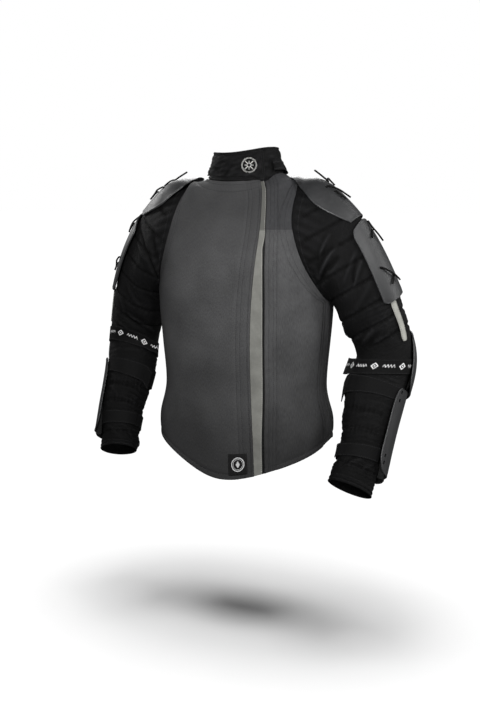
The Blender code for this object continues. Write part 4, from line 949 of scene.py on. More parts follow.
class Finish:
    """One material and the nodes that make it."""

    def __init__(self, name, shine=CLOTH_SHINE):
        self.material = bpy.data.materials.new(name)
        self.material.use_nodes = True
        self.nodes = self.material.node_tree.nodes
        self.links = self.material.node_tree.links
        self.shader = self.nodes["Principled BSDF"]
        self.shader.inputs["Specular IOR Level"].default_value = shine

    def put(self, socket, value):
        """Sets a socket to a number or colour, or links another socket to it."""
        if isinstance(value, Value):
            self.links.new(value.socket, socket)
        else:
            socket.default_value = value

    def node(self, kind, settings, values, output=0):
        made = self.nodes.new(kind)
        for name, value in settings.items():
            setattr(made, name, value)
        for key, value in values.items():
            self.put(made.inputs[key], value)
        return Value(self, made.outputs[output])

    def stretched(self, place, factors):
        return self.node("ShaderNodeVectorMath", {"operation": "MULTIPLY"}, {0: place, 1: factors})

    def cloth(self, across=1.0, along=1.0):
        """Coordinates on the cloth in metres, stretched by two factors."""
        place = self.node("ShaderNodeUVMap", {"uv_map": "cloth"}, {})
        return self.stretched(place, (across, along, 1.0))

    def space(self):
        """Coordinates in the object's own space, in metres."""
        return self.node("ShaderNodeTexCoord", {}, {}, "Object")

    def relief(self):
        """Height of the cloth's folds against the cloth round about."""
        return self.node("ShaderNodeAttribute", {"attribute_name": "relief"}, {}, "Fac")

    def noise(self, place, scale, detail=2.0, roughness=0.5):
        values = {"Vector": place, "Scale": scale, "Detail": detail, "Roughness": roughness}
        return self.node("ShaderNodeTexNoise", {"noise_dimensions": "3D"}, values)

    def cells(self, place, scale):
        values = {"Vector": place, "Scale": scale}
        return self.node("ShaderNodeTexVoronoi", {"feature": "F1"}, values, "Distance")

    def parts(self, vector):
        return [self.node("ShaderNodeSeparateXYZ", {}, {0: vector}, axis) for axis in range(3)]

    def wave(self, value, pitch):
        """Smooth wave between 0 and 1 that comes round once in each pitch."""
        return (value * (2.0 * math.pi / pitch)).maths("SINE") * 0.5 + 0.5

    def within(self, value, low, high):
        """1 where the value lies between the two limits, else 0."""
        return value.maths("GREATER_THAN", low) * value.maths("LESS_THAN", high)

    def spread(self, value, low, high):
        """The value's range from low to high stretched to run from 0 to 1."""
        values = {"Value": value, "From Min": low, "From Max": high}
        return self.node("ShaderNodeMapRange", {"clamp": True}, values)

    def between(self, low, high, axis=2):
        """Share of the way from one place of the jacket to another, upwards unless said."""
        return self.spread(self.parts(self.space())[axis], low, high)

    def blend(self, share, first, second):
        """Colour between two colours."""
        settings = {"data_type": "RGBA", "blend_type": "MIX", "clamp_factor": True}
        return self.node("ShaderNodeMix", settings, {0: share, 6: first, 7: second}, 2)

    def paint(self, share, first, second):
        """Base colour between two colours."""
        self.put(self.shader.inputs["Base Color"], self.blend(share, first, second))

    def surface(self, roughness, height, depth):
        """Roughness, and relief from a height between 0 and 1 that is so many metres deep."""
        self.put(self.shader.inputs["Roughness"], roughness)
        values = {"Height": height, "Distance": depth, "Strength": 1.0}
        self.put(self.shader.inputs["Normal"], self.node("ShaderNodeBump", {}, values))
        return self.material


def grey(value):
    return (value, value, value, 1.0)


def scaled(colour, factor):
    return (colour[0] * factor, colour[1] * factor, colour[2] * factor, 1.0)


# Finishes

def choices():
    return bpy.context.scene.jacket


def shared(name, make):
    """The finish of this name, made the first time that it is asked for."""
    return bpy.data.materials.get(name) or make()


def twill_rib(made):
    """Fine upright ribs, a little uneven."""
    cloth = made.cloth()
    return made.wave(made.parts(cloth)[0] + made.noise(cloth, 60.0) * 0.0012, TWILL_RIB)


def plastron_finish():
    """Grey twill with fine upright ribs and mottled tone; painted light makes it palest at chest height
    towards the closure, and painted shade darkens it towards the hem, the neck and the outer side.
    """
    base = choices().plastron_colour
    made = Finish("plastron_twill")
    rib = twill_rib(made)
    streak = made.noise(made.cloth(760.0, 190.0), 1.0, 3.0)
    fibre = made.noise(made.cloth(420.0, 330.0), 1.0, 4.0, 0.65)
    patch = made.noise(made.space(), 9.0, 3.0)
    # Share of the way up from near the hem, for painted shade that darkens the cloth low down
    low = made.between(-0.62, -0.30)
    shade = rib * 0.12 + streak * 0.40 + fibre * 0.36 + patch * 0.50
    # Painted light and shade on the light end of the tone: darker towards the hem, then dimmer towards the
    # neck and towards the outer side
    painted_light_pale = made.blend(low, scaled(base, 0.78), scaled(base, 1.55))
    painted_light_pale = made.blend(made.between(-0.20, -0.07), painted_light_pale, scaled(base, 1.08))
    painted_light_pale = made.blend(made.between(-0.06, -0.20, 0), painted_light_pale, scaled(base, 1.05))
    # The dark end of the tone is also painted darker towards the hem, as shade
    dark = made.blend(low, scaled(base, 0.22), scaled(base, 0.42))
    made.paint(made.spread(shade, 0.46, 0.94), dark, painted_light_pale)
    return made.surface(0.66 + fibre * 0.26, rib * 0.5 + streak * 0.35 + fibre * 0.30, 0.00035)


def front_finish():
    """Same twill on the left front, bluer and darker above the seam across it; below the seam, painted shade
    darkens it towards the hem.
    """
    base = choices().plastron_colour
    made = Finish("left_front_twill")
    rib = twill_rib(made)
    streak = made.noise(made.cloth(900.0, 95.0), 1.0, 3.0)
    patch = made.noise(made.space(), 11.0, 3.0)
    shade = made.spread(rib * 0.18 + streak * 0.46 + patch * 0.50, 0.38, 0.86)
    # Share of the way up from the hem: painted shade darkens both ends of the tone low down, below the seam
    low = made.between(-0.60, -0.30)
    painted_light_pale = made.blend(low, scaled(base, 0.74), scaled(base, 1.72))
    dark = made.blend(low, scaled(base, 0.22), scaled(base, 0.52))
    cool = made.blend(shade, scaled(base, 0.34), (base[0] * 0.98, base[1] * 0.99, base[2] * 1.04, 1.0))
    high = made.between(YOKE_SEAM_Z - COLOUR_EDGE, YOKE_SEAM_Z + COLOUR_EDGE)
    made.paint(high, made.blend(shade, dark, painted_light_pale), cool)
    return made.surface(0.66 + patch * 0.26, rib * 0.5 + streak * 0.45, 0.00035)


def strip_finish(name, base, step_z=None):
    """Light worn webbing, woven across, darker above a height where one is given."""
    made = Finish(name)
    u, v, _ = made.parts(made.cloth())
    weave = made.wave(v, 0.0022) * 0.5 + made.wave(u, 0.0018) * 0.5
    worn = made.noise(made.space(), 38.0, 4.0, 0.6)
    shade = made.spread(weave * 0.35 + worn * 0.75, 0.25, 0.85)
    colour = made.blend(shade, scaled(base, 0.62), scaled(base, 1.22))
    high = made.between(step_z - COLOUR_EDGE, step_z + COLOUR_EDGE) if step_z else 0.0
    made.paint(high, colour, scaled(base, 0.52))
    return made.surface(0.72 + worn * 0.2, weave * 0.7 + worn * 0.5, 0.0003)


def sleeve_webbing():
    return strip_finish("sleeve_webbing", [2.3 * part for part in choices().strip_colour])


def sleeve_finish(name="sleeve_cloth", lift=1.0, paint_fold_light=True):
    """Matt black cloth with a plain weave, small crinkles and uneven tone; painted light pales the crests of
    its folds, and painted shade darkens their hollows and the lower arm.
    """
    base = choices().sleeve_colour
    made = Finish(name, 0.14)
    u, v, _ = made.parts(made.cloth())
    weave = made.wave(u + v, 0.0016) * 0.5 + made.wave(u - v, 0.0016) * 0.5
    crinkle = made.noise(made.cloth(45.0, 120.0), 1.0, 5.0, 0.62)
    broad = made.noise(made.space(), 16.0, 3.0)
    # Fold heights from the mesh, or crinkles where none are given: painted light on the crests, painted shade
    # in the hollows
    fold = made.relief() if paint_fold_light else made.spread(crinkle, 0.2, 0.8)
    shade = made.spread(fold * 1.5 + crinkle * 0.40 + broad * 0.30 + weave * 0.10, 0.72, 1.90)
    # Painted shade: darker down the lower arm
    shade = shade * (0.66 + 0.34 * made.between(-0.50, -0.28))
    made.paint(shade ** 1.9, scaled(base, 0.10 * lift), scaled(base, 5.4 * lift))
    return made.surface(0.88 - fold * 0.36 + crinkle * 0.10, weave * 0.10 + crinkle * 0.9, 0.0030)


def binding_finish():
    """Smooth edge tape."""
    base = choices().sleeve_colour
    made = Finish("edge_tape")
    weave = made.wave(made.parts(made.cloth())[1], 0.0014)
    fluff = made.noise(made.space(), 220.0, 3.0)
    made.paint(fluff, scaled(base, 0.6), scaled(base, 2.0))
    return made.surface(0.66 + fluff * 0.25, weave * 0.6 + fluff * 0.4, 0.0003)


def plate_finish():
    """Dark satin plastic with a fine orange-peel skin, scuffs and scratches, and a shallow dent near each
    cap's inner tip that is painted dark as shade.
    """
    base = choices().plate_colour
    made = Finish("guard_plastic", 0.5)
    place = made.space()
    skin = made.noise(place, 420.0, 2.0)
    cloudy = made.noise(place, 22.0, 4.0, 0.6)
    scuff = made.spread(made.noise(place, 130.0, 5.0, 0.7), 0.52, 0.74)
    scratch = made.noise(made.stretched(place, (900.0, 90.0, 60.0)), 1.0, 3.0)
    scratch = made.spread(scratch, 0.66, 0.78)
    x, y, z = made.parts(place)
    # Painted shade: a dark oval in the dent near each cap's inner tip, standing in for the dark of an opening
    aside = [part - middle for part, middle in zip((abs(x), y, z), CAP_SHADED_RECESS)]
    away = (aside[0] * aside[0] + aside[1] * aside[1] + aside[2] * aside[2]) ** 0.5
    shaded_recess = made.spread(away, CAP_SHADED_RECESS_RADIUS + 0.0006, CAP_SHADED_RECESS_RADIUS - 0.0006)
    worn = cloudy * 0.55 + scuff * 0.25 + scratch * 0.30
    # Scuffs and scratches are paler wear; inside the dent the colour is painted shade
    made.paint(shaded_recess, made.blend(worn, scaled(base, 0.72), scaled(base, 1.6)), scaled(base, 0.12))
    roughness = 0.40 + cloudy * 0.14 + scuff * 0.14 + scratch * 0.10 + shaded_recess * 0.4
    return made.surface(roughness, skin * 0.35 + scratch * 0.5 + cloudy * 0.3 - shaded_recess * 3.0, 0.00022)


def foam_finish():
    """Black covered foam with a close knit."""
    made = Finish("pad_cloth")
    knit = made.cells(made.cloth(620.0, 620.0), 1.0)
    soft = made.noise(made.space(), 60.0, 3.0)
    made.paint(knit * 0.5 + soft * 0.5, grey(0.004), grey(0.016))
    return made.surface(0.84 + soft * 0.14, knit * 0.6 + soft * 0.5, 0.0004)


def webbing_finish():
    """Black webbing with ribs across its length."""
    base = choices().strap_colour
    made = Finish("strap_webbing")
    u, v, _ = made.parts(made.cloth())
    rib, bobble = made.wave(v, STRAP_RIB), made.wave(u, 0.0024)
    worn = made.noise(made.space(), 70.0, 4.0, 0.6)
    shade = made.spread(rib * 0.4 + bobble * 0.2 + worn * 0.7, 0.3, 1.0)
    made.paint(shade, scaled(base, 0.55), scaled(base, 1.9))
    return made.surface(0.66 + worn * 0.28, rib * 0.7 + bobble * 0.35, 0.0004)


def band_finish():
    """Black elastic with light woven marks along its middle."""
    base = choices().strap_colour
    made = Finish("elastic_band")
    u, v, _ = made.parts(made.cloth())
    rib = made.wave(u, 0.0022)
    worn = made.noise(made.space(), 70.0, 4.0, 0.6)
    turn = u.maths("PINGPONG", BAND_MARK_PITCH * 0.5)
    rise = v - BAND_HALF
    corner = turn * 0.9 + abs(rise)
    diamond, dot = made.within(corner, 0.0050, 0.0078), made.within(corner, -1.0, 0.0022)
    zigzag = made.within(rise - u.maths("PINGPONG", 0.0034) * 1.7, -0.0046, -0.0020)
    zigzag = zigzag * made.within(turn, BAND_MARK_PITCH * 0.5 - 0.0135, 1.0)
    mark = (diamond + dot + zigzag).maths("MINIMUM", 1.0) * made.spread(worn + rib * 0.35, 0.35, 0.62)
    shade = made.spread(rib * 0.5 + worn * 0.6, 0.3, 1.0)
    made.paint(mark, made.blend(shade, scaled(base, 0.55), scaled(base, 1.8)), grey(0.80))
    return made.surface(0.68 + worn * 0.25, rib * 0.6 + mark * 0.5, 0.0004)


def lace_finish():
    """Black braided cord."""
    made = Finish("lace_braid")
    strands = made.cells(made.space(), 900.0)
    wear = made.noise(made.space(), 160.0, 3.0)
    made.paint(strands * 0.6 + wear * 0.4, grey(0.0015), grey(0.0080))
    return made.surface(0.78 + wear * 0.2, strands, 0.0003)


def worn_finish(name, scale, dark, light, roughness, uneven):
    """Plain finish, uneven in colour and gloss."""
    made = Finish(name)
    wear = made.noise(made.space(), scale, 3.0)
    made.paint(wear, dark, light)
    made.put(made.shader.inputs["Roughness"], roughness + wear * uneven)
    return made.material


def label_finish():
    """Black woven patch with a light ring, a diamond and two bars."""
    made = Finish("label_weave")
    u, v, _ = made.parts(made.cloth())
    half = 0.5 * LABEL_WIDTH
    width, height = abs(u), abs(v - LABEL_MIDDLE)
    reach = (width * width + height * height) ** 0.5
    ring = made.within(reach, 0.62 * half, 0.72 * half) + made.within(reach, 0.50 * half, 0.54 * half)
    core = made.within(width * 1.6 + height, -1.0, 0.36 * half)
    bars = made.within(width * 0.5 + height, -1.0, 0.10 * half) * made.within(width, -1.0, 0.40 * half)
    fibre = made.noise(made.cloth(1500.0, 700.0), 1.0, 3.0)
    mark = (ring + core + bars).maths("MINIMUM", 1.0)
    base = made.blend(fibre, grey(0.003), grey(0.012))
    made.paint(mark * (0.55 + fibre * 0.45), base, grey(0.60))
    return made.surface(0.62 + fibre * 0.25, fibre * 0.5 + mark * 0.4, 0.0003)


# Body and collar

def with_rims(marks):
    """Marks of stitched rows with the points that round an edge and hollow each row."""
    beside = [mark + step for mark in marks for step in (-ROW_HALF, 0.0, ROW_HALF)]
    return np.array(sorted([*EDGE_STEPS, *beside]))


def marked_run(length, low_marks, high_marks, count):
    """Places along a length: close together at both edges and stitched rows, even between."""
    first, last = with_rims(low_marks), length - with_rims(high_marks)[::-1]
    if first[-1] > last[0]:
        squeeze = 0.49 * length / max(first[-1], length - last[0])
        first, last = first * squeeze, length - (length - last) * squeeze
    even = np.linspace(first[-1], last[0], count + 2)[1:-1]
    return np.concatenate((first, even, last))


def levels_by_length(count, low_marks=(), high_marks=(), high=NECK):
    """Levels at even distances up the middle of the front, with the marks from both ends."""
    fine = np.linspace(HEM, high, 400)
    run = run_along(torso_point(np.full_like(fine, 20.0), fine))
    return np.interp(marked_run(run[-1], low_marks, high_marks, count), run, fine)


def angles_by_length(levels, start, end, start_marks, end_marks, count):
    """Angles of a panel's columns, row by row, at set distances from both of its edges."""
    rows = []
    for level, first, last in zip(levels, start, end):
        fine = np.linspace(first, last, 160)
        run = run_along(torso_point(fine, np.full_like(fine, level)))
        rows.append(np.interp(marked_run(run[-1], start_marks, end_marks, count), run, fine))
    return np.array(rows)


def edge_distances(grid):
    """Distances of a grid's points from its first and last column and first and last row."""
    u, v = grid_lengths(grid)
    u = u - u[:, :1]
    return u, u[:, -1:] - u, v, v[-1:] - v


def edge_drop(edges, radii):
    """How far rounded edges drop; one radius, or one for each of the four edges."""
    return np.maximum.reduce([rim(edge, radius) for edge, radius in zip(edges, np.broadcast_to(radii, 4))])


def row_depths(distances, marks, soft=2.2):
    """Soft troughs along rows of stitching at these distances from an edge."""
    total = np.zeros_like(distances)
    for mark in marks:
        total = np.maximum(total, np.exp(-(((distances - mark) / (soft * ROW_HALF)) ** 2)))
    return total * ROW_DEPTH


def cloth_noise(place_a, place_b, scale, seed):
    """Gentle uneven heights between -1 and 1 from a few crossing waves."""
    total = np.zeros(np.broadcast(place_a, place_b).shape)
    for step in range(6):
        turn = seed * 1.7 + step * 2.4
        phase = place_a * math.cos(turn) + place_b * math.sin(turn)
        rate = scale * (0.7 + 0.23 * step)
        total = total + np.sin(phase * rate + seed * 3.1 + step * 1.3) / (1.0 + 0.5 * step)
    return total / 2.2


def neck_rise(angle_deg, level):
    """How far the neck edge stands higher at the left side and dips beside the closure."""
    turn = np.mod(angle_deg, 360.0)
    rise = NECK_RISE * np.exp(-(((turn - NECK_RISE_DEG) / NECK_RISE_SPREAD) ** 2))
    beside = ease((turn - LEFT_NECK_DEG + 14.0) / 14.0) * ease((LEFT_NECK_DEG + 20.0 - turn) / 24.0)
    above = np.asarray(level, dtype=float) - SHOULDER
    return rise * ease(above / 1.6) - NECK_DIP * beside * ease((above - 0.7) / 1.3)


def on_body(angles, levels):
    """Levels and plain places of a panel's points, and their distances from its edges."""
    level = np.broadcast_to(levels[:, None], angles.shape)
    plain_form = torso_point(angles, level)
    return level, plain_form, edge_distances(plain_form)


def panel_grids(angles, levels, sink, marks, folds, seed):
    """Outer and inner grids of a body panel with its stitched rows, folds and rounded edges."""
    level, plain_form, edges = on_body(angles, levels)
    drop = edge_drop(edges, (EDGE_ROUND, SEAM_ROUND, EDGE_ROUND, SEAM_ROUND))
    trough = np.maximum.reduce([row_depths(distance, rows) for distance, rows in zip(edges, marks)])
    soft = 0.0006 * cloth_noise(plain_form[..., 0], plain_form[..., 2], 42.0, seed)
    for x, z, *fold in folds:
        soft = soft + soft_fold(plain_form[..., 0] - x, plain_form[..., 2] - z, *fold)
    soft = soft * ease(np.minimum.reduce(edges) / 0.03)
    sunk = -sink * (1.0 - ease(edges[0] / SINK_WIDTH))
    rise = neck_rise(angles, level)[..., None] * (0.0, 0.0, 1.0)
    outer = torso_offset(angles, level, sunk - drop - trough + soft) + rise
    return outer, torso_offset(angles, level, sunk - BODY_WALL + 0.5 * drop + soft) + rise


def as_line(found):
    """A line from pairs of points and normals, unless they are too few."""
    if len(found) < 5:
        return []
    points, outs = np.array(found).swapaxes(0, 1)
    return [(points, unit(outs))]


def row_lines(grid, inner, distances, marks, axis):
    """Lines along a grid at set distances from one edge, for stitching."""
    sides = (grid, grid_normals(grid, inner))
    if axis == "across":
        sides, distances = [side.swapaxes(0, 1) for side in sides], distances.T
    lines = []
    for mark in marks:
        found = []
        for run, *paths in zip(distances, *sides):
            order = np.argsort(run)
            if run[order[-1]] >= mark:
                found.append([read_at(mark, run[order], path[order]) for path in paths])
        lines += as_line(found)
    return lines


def edge_lines(outer, inner, edges, marks):
    """Lines along the edges of a piece, with the marks of its four edges."""
    lines = []
    for edge, rows, axis in zip(edges, marks, ("down", "down", "across", "across")):
        lines += row_lines(outer, inner, edge, rows, axis)
    return lines


def panel_lines(outer, inner, edges, marks, levels):
    """Lines along the edges of a body panel; those of the armhole lie above the underarm."""
    lines = []
    for edge, rows, axis in zip(edges, marks, ("down", "down", "across", "across")):
        part = levels > UNDERARM - 0.1 if rows is ARMHOLE_ROWS_IN else slice(None)
        lines += row_lines(outer[part], inner[part], edge[part], rows, axis)
    return lines


def cloth_sheet(outer, closed, rows):
    """Works out a cloth piece's flat width, length and area from its outer grid, and keeps none of them."""
    grid = wrapped(outer) if closed else outer
    u, v = grid_lengths(grid)
    width, length = float((u[:, -1] - u[:, 0]).max()), float(v[-1].max())
    first = np.cross(grid[1:, :-1] - grid[:-1, :-1], grid[:-1, 1:] - grid[:-1, :-1])
    second = np.cross(grid[:-1, 1:] - grid[1:, 1:], grid[1:, :-1] - grid[1:, 1:])
    area = 0.5 * float(np.linalg.norm(first, axis=-1).sum() + np.linalg.norm(second, axis=-1).sum())
    area = max(0.31 * width * length, min(area, width * length))


def stitches(name, lines, thread):
    sizes = choices()
    colour = THREADS.get(thread) or sizes.thread_colour
    worn = (thread, 300.0, scaled(colour, 0.6), scaled(colour, 1.5), 0.5, 0.3)
    finish = shared(thread, lambda: worn_finish(*worn))
    mesh = stitch_mesh(name, lines, sizes.stitch_length, sizes.stitch_gap, 0.5 * sizes.thread_width)
    return make_object(name, mesh, finish, 80.0)


def sew(name, outer, inner, finish, lines, thread="black_thread", smooth_deg=50.0, closed=False,
        relief=None, extras=()):
    """A cloth piece with its own stitching."""
    made = make_shell(name, outer, inner, finish, smooth_deg, closed, relief)
    rows = [stitches(name + "_stitches", lines, thread)] if lines else []
    cloth_sheet(outer, closed, rows + [extra(outer, inner) for extra in extras])


def build_front_right():
    marks = (PLASTRON_ROWS, ARMHOLE_ROWS_IN, HEM_ROWS, NECK_ROWS)
    levels = levels_by_length(128, HEM_ROWS, NECK_ROWS)
    start, end = closure_angle("right_edge", levels), -front_edge(levels)
    angles = angles_by_length(levels, start, end, *marks[:2], 66)
    outer, inner = panel_grids(angles, levels, 0.0, marks, RIGHT_FOLDS, 1)
    lines = panel_lines(outer, inner, on_body(angles, levels)[2], marks, levels)
    sew("front_right", outer, inner, plastron_finish(), lines, "panel_thread")


def build_front_left():
    marks = (LEFT_ROWS, ARMHOLE_ROWS_IN, HEM_ROWS, ())
    levels = levels_by_length(128, HEM_ROWS)
    start, end = closure_angle("left_edge", levels), front_edge(levels)
    angles = angles_by_length(levels, start, end, *marks[:2], 34)
    outer, inner = panel_grids(angles, levels, LEFT_SINK, marks, LEFT_FOLDS, 2)
    _, plain_form, edges = on_body(angles, levels)
    away = plain_form[..., 2] - (YOKE_SEAM_Z - YOKE_SEAM_SLOPE * edges[0])
    crease = 0.0011 * np.exp(-((away / 0.0016) ** 2)) - 0.0006 * np.exp(-(((away + 0.004) / 0.003) ** 2))
    outer = outer - grid_normals(outer, inner) * crease[..., None]
    lines = panel_lines(outer, inner, edges, marks, levels)
    top = levels > CHEST
    yoke = row_lines(outer[top], inner[top], away[top], (-0.003, 0.003), "across")
    lines += [(points[1:-1], outs[1:-1]) for points, outs in yoke]
    sew("front_left", outer, inner, front_finish(), lines, "panel_thread")


def build_back():
    marks = (ARMHOLE_ROWS_IN, ARMHOLE_ROWS_IN, HEM_ROWS, NECK_ROWS)
    levels = levels_by_length(120, HEM_ROWS, NECK_ROWS)
    start = back_edge(levels)
    angles = angles_by_length(levels, start, 360.0 - start, *marks[:2], 76)
    outer, inner = panel_grids(angles, levels, 0.0, marks, BACK_FOLDS, 3)
    lines = panel_lines(outer, inner, on_body(angles, levels)[2], marks, levels)
    sew("back", outer, inner, plastron_finish(), lines, "panel_thread")


def strip_grids(angles, levels, depth, wall, rounding):
    level, _, edges = on_body(angles, levels)
    drop = edge_drop(edges, rounding)
    outer = torso_offset(angles, level, depth - drop)
    return outer, torso_offset(angles, level, depth - wall + 0.3 * drop)


def build_closure():
    """Facing strip, the tape behind it, and the zip in the slit."""
    levels = levels_by_length(130, high=NECK - 0.02)
    slit = closure_angle("slit", levels, -SLIT_HALF)
    closed = closure_angle("left_edge", levels, -CLOSED_GAP)
    height = torso_point(slit, levels)[:, 2]
    end = slit + (closed - slit) * ease((height - CLOSED_Z) / CLOSED_REACH)
    angles = angles_by_length(levels, closure_angle("right_edge", levels, -STRIP_TUCK), end, (), (), 10)
    _, plain_form, (near, far, _, _) = on_body(angles, levels)
    puff = 0.0004 * cloth_noise(plain_form[..., 2], near, 190.0, 5)
    depth = 0.0001 - BODY_WALL - SEAM_GAP + puff * ease(near / 0.004)
    outer, inner = strip_grids(angles, levels, depth, STRIP_WALL, 0.0008)
    finish = strip_finish("closure_webbing", choices().strip_colour, YOKE_SEAM_Z - 0.001)
    sew("zip_strip", outer, inner, finish, row_lines(outer, inner, far, (0.0016,), "down"), "strip_thread")
    end = closure_angle("left_edge", levels, TAPE_TUCK)
    angles = angles_by_length(levels, closure_angle("right_edge", levels), end, (), (), 8)
    depth = -BODY_WALL - max(STRIP_WALL, LEFT_SINK) - 2.0 * SEAM_GAP
    sew("zip_tape", *strip_grids(angles, levels, depth, TAPE_WALL, 0.0005), binding_finish(), ())
    build_teeth(levels, depth)


def prism_faces(base, count):
    """Faces of a prism whose two rings of points follow each other."""
    low = list(range(base, base + count))
    high = [corner + count for corner in low]
    sides = zip(low, low[1:] + low[:1], high[1:] + high[:1], high)
    return [low[::-1], high, *sides]


def build_teeth(levels, depth):
    """Row of zip teeth on the tape, in the slit."""
    heights = np.interp(np.arange(0.0, 1.0, 0.0046), np.linspace(0.0, 1.0, len(levels)), levels)
    near, far = closure_angle("slit", heights, -0.0008), closure_angle("slit", heights, 0.0032)
    above = np.minimum(heights + 0.008, NECK)
    corners = ((near, heights), (far, heights), (far, above), (near, above))
    points = [torso_offset(turn, level, np.full_like(turn, depth + lift))
              for lift in (0.0001, 0.0012) for turn, level in corners]
    faces = [face for base in range(0, 8 * len(heights), 8) for face in prism_faces(base, 4)]
    mesh = mesh_from("zip_teeth", np.stack(points, axis=1).reshape(-1, 3), faces)
    make_object("zip_teeth", mesh, worn_finish("zip_teeth", 240.0, grey(0.004), grey(0.02), 0.35, 0.25), 30.0)


def build_label():
    """Patch near the closure, sewn down all round, with a plain woven motif."""
    levels = np.linspace(HEM + LABEL_RISE, HEM + LABEL_RISE + LABEL_ROWS, 26)
    start, end = (closure_angle("right_edge", levels, -LABEL_INSET - width) for width in (LABEL_WIDTH, 0.0))
    angles = angles_by_length(levels, start, end, (), (), 20)
    outer, inner = strip_grids(angles, levels, LABEL_GAP + LABEL_WALL, LABEL_WALL, 0.0006)
    lines = edge_lines(outer, inner, on_body(angles, levels)[2], ((0.0022,),) * 4)
    sew("hem_label", outer, inner, label_finish(), lines, "label_thread")


def collar_grids(angles, heights):
    angle, height = np.meshgrid(angles, heights)
    zero = np.zeros_like(angle)
    edges = start, end, low, high = edge_distances(collar_point(angle, height, zero))
    drop = edge_drop(edges, (0.0022, 0.0022, 0.0016, 0.0026))
    marks = (COLLAR_END_ROWS, COLLAR_END_ROWS, COLLAR_FOOT_ROWS, COLLAR_ROWS)
    rows = np.maximum.reduce([row_depths(edge, places) for edge, places in zip(edges, marks)])
    soft = 0.0019 * cloth_noise(start, high, 80.0, 7) + 0.0012 * cloth_noise(start, high * 2.0, 210.0, 9)
    for place, up, tilt, half_length, half_width, rise in COLLAR_CREASES:
        soft = soft + soft_fold(low - up, end - place, half_length, half_width, rise, tilt)
    soft = soft * ease(np.minimum.reduce(edges) / 0.012)
    outer = collar_point(angle, height, drop + rows - soft)
    inner = collar_point(angle, height, zero + COLLAR_WALL - 0.6 * drop - soft)
    wrap = 1.0 - ease((angle - (COLLAR_INNER_END - 360.0) - WRAP_DEG) / WRAP_EASE_DEG)
    tuck = (FOOT_TUCK * wrap + NECK_DIP * ease((angle - 30.0) / 14.0)) * (1.0 - height) ** 3
    outer[..., 2] -= tuck
    inner[..., 2] -= tuck
    return outer, inner, edges, soft - rows


def build_collar():
    span = COLLAR_OUTER_END - (COLLAR_INNER_END - 360.0)
    ends = marked_run(COLLAR_LENGTH, COLLAR_END_ROWS, COLLAR_END_ROWS, 210)
    angles = COLLAR_INNER_END - 360.0 + span * ends / COLLAR_LENGTH
    heights = marked_run(COLLAR_HEIGHT, COLLAR_FOOT_ROWS, COLLAR_ROWS, 24) / COLLAR_HEIGHT
    outer, inner, edges, relief = collar_grids(angles, heights)
    lines = edge_lines(outer, inner, edges, ((), COLLAR_END_ROWS, COLLAR_FOOT_ROWS, COLLAR_ROWS))
    sew("collar", outer, inner, sleeve_finish("collar_cloth"), lines,
        relief=local_relief(relief, 0.0060, 8), extras=(build_badge,))


def build_badge(outer, inner):
    """Small round badge of light thread on the collar's overlap: a plain eight-pointed star."""
    cloth = outer.reshape(-1, 3)
    nearest = np.argmin(np.linalg.norm(cloth - np.array(BADGE_PLACE), axis=-1))
    centre, out = cloth[nearest], grid_normals(outer, inner).reshape(-1, 3)[nearest]
    right = unit(np.cross((0.0, 0.0, 1.0), out))
    up = np.cross(out, right)

    def lay(turns, reach):
        """Line of points at these turns and distances from the badge's middle, laid on the cloth."""
        flat = centre + right * (reach * np.cos(turns))[:, None] + up * (reach * np.sin(turns))[:, None]
        under = np.array([cloth[np.argmin(np.linalg.norm(cloth - point, axis=-1))] for point in flat])
        flat = flat + out * ((under - flat) @ out + 0.0006)[:, None]
        return flat, np.broadcast_to(out, flat.shape).copy()

    lines = [lay(np.linspace(0.0, 2.0 * math.pi, 49), size * BADGE_RADIUS) for size in (1.0, 0.90)]
    share = np.linspace(0.0, 1.0, 7)
    for ray in range(8):
        root, tip = BADGE_RADIUS * 0.16, BADGE_RADIUS * (0.80 if ray % 2 else 0.62)
        for aside in (-0.22, 0.0, 0.22):
            lines.append(lay(ray * math.pi / 4.0 + aside * (1.0 - share), root + (tip - root) * share))
    mesh = stitch_mesh("collar_badge", lines, 0.0030, 0.0002, 0.00042)
    light = (0.52, 0.52, 0.50)
    finish = worn_finish("badge_thread", 300.0, scaled(light, 0.6), scaled(light, 1.5), 0.5, 0.3)
    return make_object("collar_badge", mesh, finish, 80.0)


def build_collar_base():
    """Guard band round the foot of the collar, flared at its lower edge."""
    marks = ((0.004,), (0.004,))
    angles = GUARD_BAND_START + (GUARD_BAND_END - GUARD_BAND_START) * marked_run(0.32, *marks, 90) / 0.32
    angle, height = np.meshgrid(angles, marked_run(GUARD_HEIGHT, *marks, 8) / GUARD_HEIGHT)
    inner = collar_point(angle, 0.02 + GUARD_HEIGHT / COLLAR_HEIGHT * height, np.zeros_like(angle))
    outwards = unit(inner * np.array((1.0, 1.0, 0.0)))
    ends = np.minimum(GUARD_BAND_START - angle, angle - GUARD_BAND_END) / GUARD_BAND_EASE_DEG
    flare = GUARD_CLEARANCE + GUARD_FLARE * (1.0 - height) ** 1.5 * ease(ends)
    inner = inner + outwards * flare[..., None]
    inner[..., 2] += GUARD_RISE + GUARD_FOOT_RISE * (1.0 - height) + neck_rise(angle, NECK)
    edges = edge_distances(inner)
    rows = np.maximum(*(row_depths(edge, (0.004,)) for edge in edges[2:]))
    outer = inner + outwards * (GUARD_WALL - edge_drop(edges, 0.0016) - rows)[..., None]
    lines = edge_lines(outer, inner, edges, ((), (), *marks))
    sew("collar_base", outer, inner, sleeve_finish("guard_band_cloth", 1.1, False), lines)


# Sleeves

def arm_distance(station, around_deg, side):
    """How far down the arm a point of the plain sleeve lies, straight along the upper arm."""
    away = plain_sleeve(station, around_deg, side) - np.array(ARM_TOP)
    length = np.radians(np.mod(around_deg, 360.0)) * MEAN_RADIUS
    wander = 0.0022 * np.sin(length * 19.0 + side) + 0.0012 * np.sin(length * 47.0 + 2.0 * side)
    return away @ unit(np.array(ARM_AXIS)) + wander


